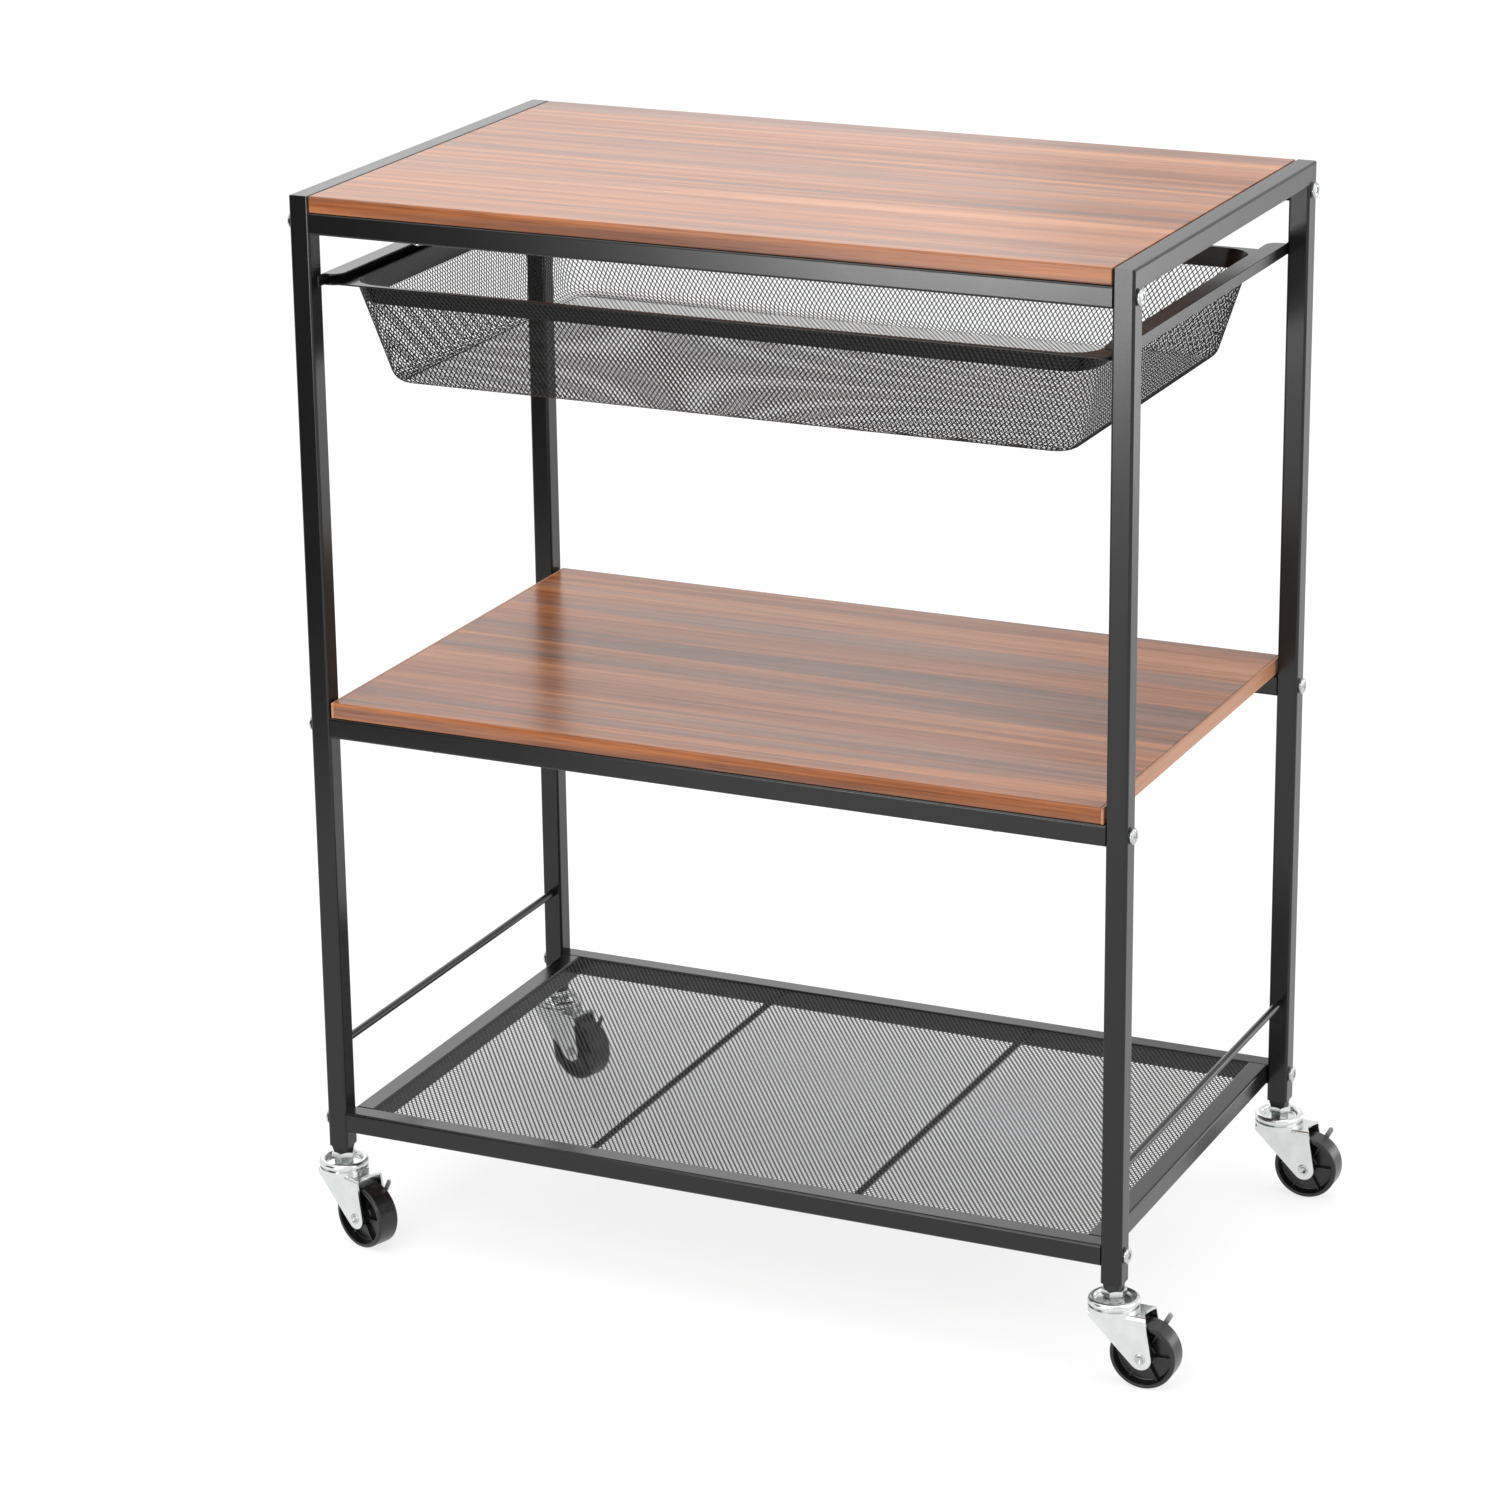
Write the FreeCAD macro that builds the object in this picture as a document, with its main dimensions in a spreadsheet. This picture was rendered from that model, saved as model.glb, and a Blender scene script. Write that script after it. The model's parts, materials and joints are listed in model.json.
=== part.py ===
import FreeCAD, Part
import Sketcher
import math
import os
import re

# Rolling shelf: two welded end frames, two boards, a mesh shelf, a sliding mesh drawer and four casters.
# Millimetres. +X is right, -Y is the front, +Z is up. The origin is on the floor, midway between the legs.
SIZES = {
    # Square tube and end frames
    "cart_width": 640,
    "cart_depth": 378,
    "leg_length": 733,
    "tube_width": 16,
    "tube_wall": 1.2,
    "tube_round": 2,
    "guard_rod_diameter": 6,
    "guard_rod_height": 81,
    # Boards, measured down from the top of the legs
    "board_thickness": 12,
    "board_round": 1.5,
    "top_board_gap": 0.5,
    "middle_board_gap": 4,
    "middle_board_drop": 377.5,
    # Bottom shelf
    "bottom_shelf_height": 29,
    "shelf_mesh_sheet": 1.2,
    "shelf_mesh_recess": 1,
    "mesh_strand": 5,
    "mesh_columns": 16,
    "mesh_rows": 9,
    "cross_bar_diameter": 5,
    "cross_bar_spacing": 214,
    # Screws and threaded inserts in the rail ends
    "screw_diameter": 6,
    "screw_length": 27,
    "screw_head_diameter": 12,
    "screw_head_height": 3.6,
    "screw_play": 0.2,
    "insert_length": 14,
    "insert_play": 0.05,
    "board_screw_diameter": 4,
    "board_screw_bite": 8,
    "board_screw_head_diameter": 8,
    "board_screw_head_height": 2,
    "board_screw_inset": 84,
    # Drawer runners
    "runner_drop": 59,
    "runner_width": 14,
    "runner_height": 8.5,
    "runner_wall": 1.5,
    "runner_corner": 9,
    "runner_lap": 8,
    # Drawer
    "drawer_side_play": 0.5,
    "drawer_lift": 0.3,
    "rim_sheet": 1.2,
    "rim_depth": 348,
    "rim_forward": 3,
    "rim_corner": 12,
    "rim_side_flange": 16,
    "rim_end_flange": 3,
    "band_height": 13,
    "band_gap": 0.1,
    "basket_sheet": 1,
    "basket_height": 75,
    "basket_side_draft": 22,
    "basket_end_draft": 19,
    "basket_corner": 26,
    "basket_floor_corner": 18,
    "basket_floor_round": 8,
    "basket_bar": 5,
    "basket_columns": 12,
    "basket_side_columns": 7,
    "basket_rows": 2,
    # Caster, stacked from the floor up to the foot of the leg
    "wheel_diameter": 50,
    "fork_rise": 31.5,
    "race_height": 2.1,
    "swivel_gap": 0.8,
    "cup_sheet": 1.6,
    "stem_hex_height": 5,
    "nut_height": 5,
    "plug_taper_height": 5,
    # Leg plug, nut, stem and cup
    "plug_inset": 1.4,
    "plug_taper_angle": 12,
    "plug_screw_gap": 3,
    "plug_play": 0.1,
    "stem_diameter": 10,
    "stem_end_gap": 0.5,
    "stem_play": 0.05,
    "stem_hex_width": 13,
    "nut_width": 16,
    "cup_diameter": 38,
    "cup_height": 5.4,
    "cup_mouth_diameter": 26,
    "cup_roll": 2.4,
    "king_pin_play": 0.08,
    "king_pin_head_diameter": 14,
    "king_pin_head_height": 2,
    "king_pin_head_gap": 0.3,
    # Fork
    "caster_trail": 24.6,
    "fork_sheet": 1.8,
    "fork_bend": 2.6,
    "fork_width": 26,
    "fork_nose": 15,
    "fork_nose_depth": 4.5,
    "fork_tail": 27.7,
    "fork_end_radius": 8.3,
    "fork_tail_scoop": 20,
    "fork_tail_scoop_depth": 3,
    "race_diameter": 37.4,
    "race_rib_height": 1.6,
    "race_rib_width": 2,
    "bearing_height": 2.4,
    "bearing_gap": 0.1,
    # Wheel, axle and brake lever
    "wheel_width": 18.6,
    "wheel_edge": 2,
    "wheel_rim": 3.6,
    "wheel_dish_slope": 1.2,
    "wheel_web": 6,
    "hub_diameter": 14,
    "hub_side_gap": 0.5,
    "axle_diameter": 6,
    "axle_bore": 4.4,
    "axle_head_diameter": 8.4,
    "axle_head_height": 0.9,
    "axle_play": 0.05,
    "lever_sheet": 1.2,
    "lever_side_gap": 0.3,
    "lever_eye_diameter": 12,
    "lever_reach": 32.5,
    "lever_width": 4,
    "lever_angle": 62,
    # How far each caster's wheel is turned to the front at rest
    "left_front_turn": 19,
    "left_rear_turn": 18,
    "right_front_turn": 0,
    "right_rear_turn": 0,
}

document = FreeCAD.newDocument("rolling_shelf")
sheet = document.addObject("Spreadsheet::Sheet", "sizes")
for row, (alias, number) in enumerate(SIZES.items(), start=1):
    sheet.set(f"A{row}", alias)
    sheet.set(f"B{row}", str(number))
    sheet.setAlias(f"B{row}", alias)
document.recompute()


def cells(formula):
    """The formula with each size's name pointed at its spreadsheet cell."""
    return re.sub(r"[a-z_]+", lambda word: "sizes." * (word.group() in SIZES) + word.group(), str(formula))


def number_of(formula):
    """What a formula gives now, as a plain number."""
    result = sheet.evalExpression(cells(formula))
    return float(getattr(result, "Value", result))


# Levels above the floor, each built on the one before
AXLE_LEVEL = "(wheel_diameter / 2)"
FORK_TOP = f"({AXLE_LEVEL} + fork_rise)"
RACE_TOP = f"({FORK_TOP} + race_height)"
CUP_BASE = f"({RACE_TOP} + swivel_gap)"
STEM_SEAT = f"({CUP_BASE} + cup_sheet)"
NUT_BASE = f"({STEM_SEAT} + stem_hex_height)"
PLUG_TIP = f"({NUT_BASE} + nut_height)"
LEG_FOOT = f"({PLUG_TIP} + plug_taper_height)"
LEG_TOP = f"({LEG_FOOT} + leg_length)"
TOP_RAIL_AXIS = f"({LEG_TOP} - board_thickness - tube_width / 2)"
MIDDLE_RAIL_AXIS = f"({LEG_TOP} - middle_board_drop - board_thickness - tube_width / 2)"
BOTTOM_RAIL_AXIS = f"({LEG_FOOT} + bottom_shelf_height - tube_width / 2)"
RUNNER_BASE = f"({LEG_TOP} - runner_drop - runner_height)"
RIM_BASE = f"({RUNNER_BASE} + runner_wall + drawer_lift)"

# Places across the cart
LEG_X = "(cart_width / 2 - tube_width / 2)"
LEG_Y = "(cart_depth / 2 - tube_width / 2)"
INNER_X = "(cart_width / 2 - tube_width)"
INNER_Y = "(cart_depth / 2 - tube_width)"
SHELF_OPENING_X = f"({INNER_X} - tube_width)"
TUBE_BORE = "(tube_width - 2 * tube_wall)"
RIM_X = f"({INNER_X} - runner_wall - drawer_side_play)"
RIM_Y = "(rim_depth / 2)"
BASKET_X = f"({RIM_X} - rim_side_flange)"
BASKET_Y = f"({RIM_Y} - rim_end_flange)"
BOARD_SCREW_X = f"({INNER_X} - board_screw_inset)"

SIDES = {"left": -1, "right": 1}
ENDS = {"front": -1, "rear": 1}
CORNERS = [(side, end) for side in SIDES for end in ENDS]
AXIS_X = FreeCAD.Vector(1, 0, 0)
AXIS_Y = FreeCAD.Vector(0, 1, 0)
AXIS_Z = FreeCAD.Vector(0, 0, 1)
nodes = []


def turned(*turns):
    """One rotation from several (axis, degrees) turns, the last one applied first."""
    rotation = FreeCAD.Rotation()
    for axis, degrees in turns:
        rotation = rotation.multiply(FreeCAD.Rotation(axis, degrees))
    return rotation


def place(item, x="0", y="0", z="0", rotation=None):
    """Sets an object's place with formulas, and its turn."""
    item.Placement = FreeCAD.Placement(FreeCAD.Vector(), rotation or FreeCAD.Rotation())
    for axis, formula in zip("xyz", (x, y, z)):
        item.setExpression(f"Placement.Base.{axis}", cells(formula))


def new_body(label):
    body = document.addObject("PartDesign::Body", label)
    body.Label = label
    nodes.append(body)
    return body


def sketch_on(body, role, level=None):
    """An empty sketch on one of the body's origin planes, raised along the plane's normal."""
    plane = next(item for item in body.Origin.OriginFeatures if item.Role == role)
    sketch = body.newObject("Sketcher::SketchObject", f"{body.Name}_sketch")
    sketch.AttachmentSupport = (plane, [""])
    sketch.MapMode = "FlatFace"
    if level:
        sketch.setExpression("AttachmentOffset.Base.z", cells(level))
    return sketch


def bind(sketch, kind, geometry, point, formula):
    """Ties one size of a sketch to a formula. A point's size is measured from the sketch's origin."""
    start = [kind, -1, 1, geometry, point] if point else [kind, geometry]
    index = sketch.addConstraint(Sketcher.Constraint(*start, number_of(formula)))
    sketch.setExpression(f"Constraints[{index}]", cells(formula))


def outline(sketch, corners):
    """A closed outline of straight lines through corners given as formulas."""
    points = [FreeCAD.Vector(number_of(x), number_of(y), 0) for x, y in corners]
    count = len(points)
    lines = [sketch.addGeometry(Part.LineSegment(points[i], points[(i + 1) % count])) for i in range(count)]
    for i, line in enumerate(lines):
        sketch.addConstraint(Sketcher.Constraint("Coincident", line, 2, lines[(i + 1) % count], 1))
        bind(sketch, "DistanceX", line, 1, corners[i][0])
        bind(sketch, "DistanceY", line, 1, corners[i][1])


def block(sketch, x0, x1, y0, y1):
    outline(sketch, [(x0, y0), (x1, y0), (x1, y1), (x0, y1)])


def square(sketch, width):
    block(sketch, f"-{width} / 2", f"{width} / 2", f"-{width} / 2", f"{width} / 2")


def hexagon(sketch, width):
    """A hexagon measured across its flats."""
    corners = [(f"{width} / sqrt(3) * cos({60 * i})", f"{width} / sqrt(3) * sin({60 * i})") for i in range(6)]
    outline(sketch, corners)


def circle(sketch, x, y, diameter):
    centre = FreeCAD.Vector(number_of(x), number_of(y), 0)
    ring = sketch.addGeometry(Part.Circle(centre, AXIS_Z, number_of(diameter) / 2))
    bind(sketch, "Diameter", ring, 0, diameter)
    bind(sketch, "DistanceX", ring, 3, x)
    bind(sketch, "DistanceY", ring, 3, y)


def rounded_block(sketch, x, y, radius):
    """A rectangle about the origin, given by its half sizes, with tangent arcs at its corners."""
    half_x, half_y, bend = number_of(x), number_of(y), number_of(radius)
    arcs = []
    for i, (right, back) in enumerate(((1, 1), (-1, 1), (-1, -1), (1, -1))):
        centre = FreeCAD.Vector(right * (half_x - bend), back * (half_y - bend), 0)
        whole = Part.Circle(centre, AXIS_Z, bend)
        arc = sketch.addGeometry(Part.ArcOfCircle(whole, i * math.pi / 2, (i + 1) * math.pi / 2))
        bind(sketch, "Radius", arc, 0, radius)
        bind(sketch, "DistanceX", arc, 3, f"{right} * ({x} - {radius})")
        bind(sketch, "DistanceY", arc, 3, f"{back} * ({y} - {radius})")
        arcs.append(arc)
    for arc, following in zip(arcs, arcs[1:] + arcs[:1]):
        start = sketch.Geometry[arc].EndPoint
        end = sketch.Geometry[following].StartPoint
        line = sketch.addGeometry(Part.LineSegment(start, end))
        sketch.addConstraint(Sketcher.Constraint("Tangent", arc, 2, line, 1))
        sketch.addConstraint(Sketcher.Constraint("Tangent", line, 2, following, 1))


def pad(body, sketch, length, symmetric=False, reverse=False):
    feature = body.newObject("PartDesign::Pad", f"{body.Name}_pad")
    feature.Profile = sketch
    feature.setExpression("Length", cells(length))
    feature.SideType = "Symmetric" if symmetric else "One side"
    feature.Reversed = reverse
    return feature


def pocket(body, sketch, length=None, reverse=False):
    """Cuts through everything on both sides of the sketch, or to a depth below it."""
    feature = body.newObject("PartDesign::Pocket", f"{body.Name}_pocket")
    feature.Profile = sketch
    if length:
        feature.setExpression("Length", cells(length))
        feature.Reversed = reverse
    else:
        feature.Type = "ThroughAll"
        feature.SideType = "Symmetric"
    return feature


def revolve(body, sketch):
    """Turns the sketch all the way round its upright axis."""
    feature = body.newObject("PartDesign::Revolution", f"{body.Name}_revolve")
    feature.Profile = sketch
    feature.ReferenceAxis = (sketch, ["V_Axis"])
    feature.Angle = 360
    return feature


def loft(body, sections, kind="PartDesign::AdditiveLoft"):
    feature = body.newObject(kind, f"{body.Name}_loft")
    feature.Profile = sections[0]
    feature.Sections = sections[1:]
    feature.Ruled = True
    return feature


def fillet(body, radius, wanted):
    """Rounds the edges of the body so far that pass the test."""
    document.recompute()
    base = body.Tip
    names = [f"Edge{i}" for i, edge in enumerate(base.Shape.Edges, start=1) if wanted(edge)]
    feature = body.newObject("PartDesign::Fillet", f"{body.Name}_fillet")
    feature.Base = (base, names)
    feature.setExpression("Radius", cells(radius))
    return feature


def runs_along(edge, axis):
    """Whether an edge is straight and parallel to an axis."""
    return edge.Curve.TypeId == "Part::GeomLine" and abs(edge.Curve.Direction.dot(axis)) > 0.999


def circle_at(edge, radius, level):
    """Whether an edge is a circle round the upright axis, of this radius and at this level."""
    if edge.Curve.TypeId != "Part::GeomCircle":
        return False
    near_radius = abs(edge.Curve.Radius - radius) < 0.001
    return near_radius and abs(edge.Curve.Center.z - level) < 0.001


def tube(label, length, mitred_ends=0, bore=TUBE_BORE):
    """A square tube upright on its own origin. Mitres slope up to the front at the top and at the foot."""
    body = new_body(label)
    section = sketch_on(body, "XY_Plane")
    square(section, "tube_width")
    pad(body, section, length)
    fillet(body, "tube_round", lambda edge: runs_along(edge, AXIS_Z))
    inside = sketch_on(body, "XY_Plane")
    square(inside, bore)
    pocket(body, inside)
    near, far = "-tube_width / 2", "tube_width / 2"
    if mitred_ends:
        top_cut = sketch_on(body, "YZ_Plane")
        outline(top_cut, [(near, length), (far, f"{length} - tube_width"), (far, length)])
        pocket(body, top_cut)
    if mitred_ends == 2:
        foot_cut = sketch_on(body, "YZ_Plane")
        outline(foot_cut, [(near, "0"), (far, "0"), (far, "tube_width")])
        pocket(body, foot_cut)
    return body


def drill(body, role, x, y, diameter):
    """A round hole right through the body, square to one of its origin planes."""
    hole = sketch_on(body, role)
    circle(hole, x, y, diameter)
    pocket(body, hole)


def group(label, template, places):
    """Copies of one piece that share a node, as separate solids."""
    document.recompute()
    copies = []
    for position, rotation in places:
        copy = template.Shape.copy()
        copy.Placement = FreeCAD.Placement(position, rotation).multiply(template.Placement)
        copies.append(copy)
    item = document.addObject("Part::Feature", label)
    item.Shape = Part.makeCompound(copies)
    item.Label = label
    nodes.remove(template)
    nodes.append(item)
    return item


# Legs: mitred at the top, with a screw hole through at each rail
RAIL_AXES = [TOP_RAIL_AXIS, MIDDLE_RAIL_AXIS, BOTTOM_RAIL_AXIS]
for side, end in CORNERS:
    leg = tube(f"{side}_{end}_leg", "leg_length", mitred_ends=1)
    for axis_level in RAIL_AXES:
        drill(leg, "YZ_Plane", "0", f"{axis_level} - {LEG_FOOT}", "screw_diameter + 2 * screw_play")
    heading = turned((AXIS_Z, 0 if end == "front" else 180))
    place(leg, f"{SIDES[side]} * {LEG_X}", f"{ENDS[end]} * {LEG_Y}", LEG_FOOT, heading)

# Side rails on top of the legs, mitred into them at both ends
for side in SIDES:
    rail = tube(f"{side}_top_rail", "cart_depth", mitred_ends=2)
    lying = turned((AXIS_X, -90))
    place(rail, f"{SIDES[side]} * {LEG_X}", "-cart_depth / 2", f"{LEG_TOP} - tube_width / 2", lying)

# Cross rails under the boards, drilled upright for the board screws
CROSSWISE = turned((AXIS_Y, 90))
RAIL_LENGTH = f"(2 * {INNER_X})"
for level_name, axis_level in (("top", TOP_RAIL_AXIS), ("middle", MIDDLE_RAIL_AXIS)):
    for end in ENDS:
        rail = tube(f"{level_name}_{end}_rail", RAIL_LENGTH)
        for side in SIDES:
            along = f"{INNER_X} + {SIDES[side]} * {BOARD_SCREW_X}"
            drill(rail, "YZ_Plane", "0", along, "board_screw_diameter + 2 * screw_play")
        place(rail, f"-{INNER_X}", f"{ENDS[end]} * {LEG_Y}", axis_level, CROSSWISE)

# Bottom shelf frame: long rails front and rear, short rails between them
for end in ENDS:
    rail = tube(f"shelf_{end}_rail", RAIL_LENGTH)
    place(rail, f"-{INNER_X}", f"{ENDS[end]} * {LEG_Y}", BOTTOM_RAIL_AXIS, CROSSWISE)
for side in SIDES:
    rail = tube(f"shelf_{side}_rail", f"2 * {INNER_Y}")
    rail_x = f"{SIDES[side]} * ({INNER_X} - tube_width / 2)"
    place(rail, rail_x, f"-{INNER_Y}", BOTTOM_RAIL_AXIS, turned((AXIS_X, -90)))

# Bottom shelf mesh: one sheet with staggered diamond gaps, set between the rails
mesh_x, mesh_y = number_of(SHELF_OPENING_X), number_of(INNER_Y)
columns, rows = int(SIZES["mesh_columns"]), int(SIZES["mesh_rows"])
pitch_x, pitch_y = 2 * mesh_x / columns, 2 * mesh_y / rows
gap_share = 1 - SIZES["mesh_strand"] / (pitch_x * pitch_y / math.hypot(pitch_x, pitch_y))
gap_x, gap_y = gap_share * pitch_x / 2, gap_share * pitch_y / 2
mesh_level = number_of(f"{BOTTOM_RAIL_AXIS} + tube_width / 2 - shelf_mesh_recess - shelf_mesh_sheet")


def diamond(x, y):
    tips = [(x - gap_x, y), (x, y - gap_y), (x + gap_x, y), (x, y + gap_y)]
    return Part.makePolygon([FreeCAD.Vector(*tip, 0) for tip in tips + tips[:1]])


gaps = []
for half_row in range(1, 2 * rows):
    shift = 0.5 if half_row % 2 else 1
    for column in range(columns if half_row % 2 else columns - 1):
        gaps.append(diamond((column + shift) * pitch_x - mesh_x, half_row * pitch_y / 2 - mesh_y))
border = [(-mesh_x, -mesh_y), (mesh_x, -mesh_y), (mesh_x, mesh_y), (-mesh_x, mesh_y)]
border_wire = Part.makePolygon([FreeCAD.Vector(*corner, 0) for corner in border + border[:1]])
net_face = Part.makeFace([border_wire] + gaps, "Part::FaceMakerBullseye")
shelf_mesh = document.addObject("Part::Feature", "shelf_mesh")
shelf_mesh.Shape = net_face.extrude(FreeCAD.Vector(0, 0, number_of("shelf_mesh_sheet")))
shelf_mesh.Label = "shelf_mesh"
place(shelf_mesh, z=f"{BOTTOM_RAIL_AXIS} + tube_width / 2 - shelf_mesh_recess - shelf_mesh_sheet")
nodes.append(shelf_mesh)


def rod(label, diameter, length):
    """A round rod upright on its own origin."""
    body = new_body(label)
    section = sketch_on(body, "XY_Plane")
    circle(section, "0", "0", diameter)
    pad(body, section, length)
    return body


# Cross bars that carry the mesh
LYING_BACK = turned((AXIS_X, -90))
bar = rod("shelf_cross_bar", "cross_bar_diameter", f"2 * {INNER_Y}")
bar.Placement = FreeCAD.Placement(FreeCAD.Vector(), LYING_BACK)
bar_level = mesh_level - SIZES["cross_bar_diameter"] / 2
bar_places = []
for direction in SIDES.values():
    spot = FreeCAD.Vector(direction * SIZES["cross_bar_spacing"] / 2, -mesh_y, bar_level)
    bar_places.append((spot, FreeCAD.Rotation()))
group("shelf_cross_bars", bar, bar_places)

# Guard rods across the end frames
for side in SIDES:
    guard = rod(f"{side}_guard_rod", "guard_rod_diameter", f"2 * {INNER_Y}")
    place(guard, f"{SIDES[side]} * {LEG_X}", f"-{INNER_Y}", f"{LEG_FOOT} + guard_rod_height", LYING_BACK)


def board(label, half_width):
    """A board about its own origin, with its long edges eased and blind holes for its screws."""
    body = new_body(label)
    face = sketch_on(body, "XY_Plane")
    block(face, f"-{half_width}", half_width, "-cart_depth / 2", "cart_depth / 2")
    pad(body, face, "board_thickness")
    fillet(body, "board_round", lambda edge: runs_along(edge, AXIS_X))
    holes = sketch_on(body, "XY_Plane")
    for across in SIDES.values():
        for along in ENDS.values():
            hole_width = "board_screw_diameter + 2 * insert_play"
            circle(holes, f"{across} * {BOARD_SCREW_X}", f"{along} * {LEG_Y}", hole_width)
    pocket(body, holes, "board_screw_bite + insert_play", reverse=True)
    return body


# Top board between the side rails, middle board between the legs
top_board = board("top_board", f"({INNER_X} - top_board_gap)")
place(top_board, z=f"{LEG_TOP} - board_thickness")
middle_board = board("middle_board", f"({INNER_X} - middle_board_gap)")
place(middle_board, z=f"{LEG_TOP} - middle_board_drop - board_thickness")


def pan_screw(label, diameter, length, head_diameter, head_height):
    """A screw along its own upright axis: shank below the origin, domed head above it."""
    body = new_body(label)
    half = sketch_on(body, "XZ_Plane")
    shank, head = f"{diameter} / 2", f"{head_diameter} / 2"
    outline(half, [("0", f"-{length}"), (shank, f"-{length}"), (shank, "0"), (head, "0"),
                   (head, f"{head_height} * 0.45"), (f"{head} * 0.72", f"{head_height} * 0.88"),
                   (f"{head} * 0.35", head_height), ("0", head_height)])
    revolve(body, half)
    return body


# Screws through the legs into the rail ends
screw = pan_screw("frame_screw", "screw_diameter", "screw_length", "screw_head_diameter", "screw_head_height")
screw_places = []
for side, end in CORNERS:
    for axis_level in RAIL_AXES:
        x = SIDES[side] * number_of("cart_width / 2")
        spot = FreeCAD.Vector(x, ENDS[end] * number_of(LEG_Y), number_of(axis_level))
        screw_places.append((spot, turned((AXIS_Y, SIDES[side] * 90))))
group("frame_screws", screw, screw_places)

# Threaded inserts flush with the rail ends
insert = new_body("rail_insert")
insert_section = sketch_on(insert, "XY_Plane")
square(insert_section, f"({TUBE_BORE} - 2 * insert_play)")
pad(insert, insert_section, "insert_length")
drill(insert, "XY_Plane", "0", "0", "screw_diameter + 2 * insert_play")
insert_places = []
for side, end in CORNERS:
    for axis_level in RAIL_AXES:
        x = SIDES[side] * number_of(INNER_X)
        spot = FreeCAD.Vector(x, ENDS[end] * number_of(LEG_Y), number_of(axis_level))
        insert_places.append((spot, turned((AXIS_Y, -SIDES[side] * 90))))
group("rail_inserts", insert, insert_places)

# Screws from below through the cross rails into the boards
board_screw = pan_screw("board_screw", "board_screw_diameter", "(tube_width + board_screw_bite)",
                        "board_screw_head_diameter", "board_screw_head_height")
board_screw_places = []
for side, end in CORNERS:
    for axis_level in RAIL_AXES[:2]:
        x, y = SIDES[side] * number_of(BOARD_SCREW_X), ENDS[end] * number_of(LEG_Y)
        spot = FreeCAD.Vector(x, y, number_of(f"{axis_level} - tube_width / 2"))
        board_screw_places.append((spot, turned((AXIS_X, 180))))
group("board_screws", board_screw, board_screw_places)

# Drawer runners: C-shaped channels that open inwards, with a web that laps onto the legs
for side in SIDES:
    runner = new_body(f"{side}_drawer_runner")
    plan = sketch_on(runner, "XY_Plane")
    block(plan, "-runner_width", "0", f"-{INNER_Y}", INNER_Y)
    pad(runner, plan, "runner_height")
    inner_edge = -number_of("runner_width")
    fillet(runner, "runner_corner",
           lambda edge: runs_along(edge, AXIS_Z) and abs(edge.Vertexes[0].X - inner_edge) < 0.001)
    web = sketch_on(runner, "XY_Plane")
    lap_end = f"({INNER_Y} + runner_lap)"
    block(web, "-runner_wall", "0", f"-{lap_end}", lap_end)
    pad(runner, web, "runner_height")
    mouth = sketch_on(runner, "XZ_Plane")
    block(mouth, "-2 * runner_width", "-runner_wall", "runner_wall", "runner_height - runner_wall")
    pocket(runner, mouth)
    facing = turned((AXIS_Z, 0 if side == "right" else 180))
    place(runner, f"{SIDES[side]} * {INNER_X}", "0", RUNNER_BASE, facing)


def basket_section(body, level, drop, inset):
    """The basket's outline at a depth below its top, moved in by an inset."""
    share = f"(({drop}) / basket_height)"
    half_x = f"({BASKET_X} - basket_side_draft * {share} - {inset})"
    half_y = f"({BASKET_Y} - basket_end_draft * {share} - {inset})"
    corner = f"(basket_corner + (basket_floor_corner - basket_corner) * {share} - {inset})"
    sketch = sketch_on(body, "XY_Plane", level)
    rounded_block(sketch, half_x, half_y, corner)
    return sketch


# Drawer rim: a flat flange that hangs in the runners, and a band that follows the basket's taper inside it
rim = new_body("drawer_rim")
BAND_OUTSET = "(basket_sheet + band_gap)"
BAND_INSET = f"({BAND_OUTSET} + rim_sheet)"


def band_sections(inset):
    """The band's outline at its foot and at the top of the flange."""
    foot = basket_section(rim, "-band_height", "band_height", inset)
    return [foot, basket_section(rim, "rim_sheet", "-rim_sheet", inset)]


loft(rim, band_sections(BAND_OUTSET))
flange = sketch_on(rim, "XY_Plane")
rounded_block(flange, RIM_X, RIM_Y, "rim_corner")
pad(rim, flange, "rim_sheet")
loft(rim, band_sections(BAND_INSET), "PartDesign::SubtractiveLoft")
place(rim, "0", "-rim_forward", RIM_BASE)

ROUND_STEPS = 3


def tub(label, depth, inset, bend):
    """A solid tub that fills the basket's taper down to a depth, its floor edge rounded in steps."""
    body = document.addObject("PartDesign::Body", label)
    sections = [basket_section(body, "0", "0", inset)]
    for step in range(ROUND_STEPS + 1):
        angle = 90 * step / ROUND_STEPS
        drop = f"({depth} - {bend} * (1 - sin({angle})))"
        sections.append(basket_section(body, f"-{drop}", drop, f"({inset} + {bend} * (1 - cos({angle})))"))
    loft(body, sections)
    return body


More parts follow.
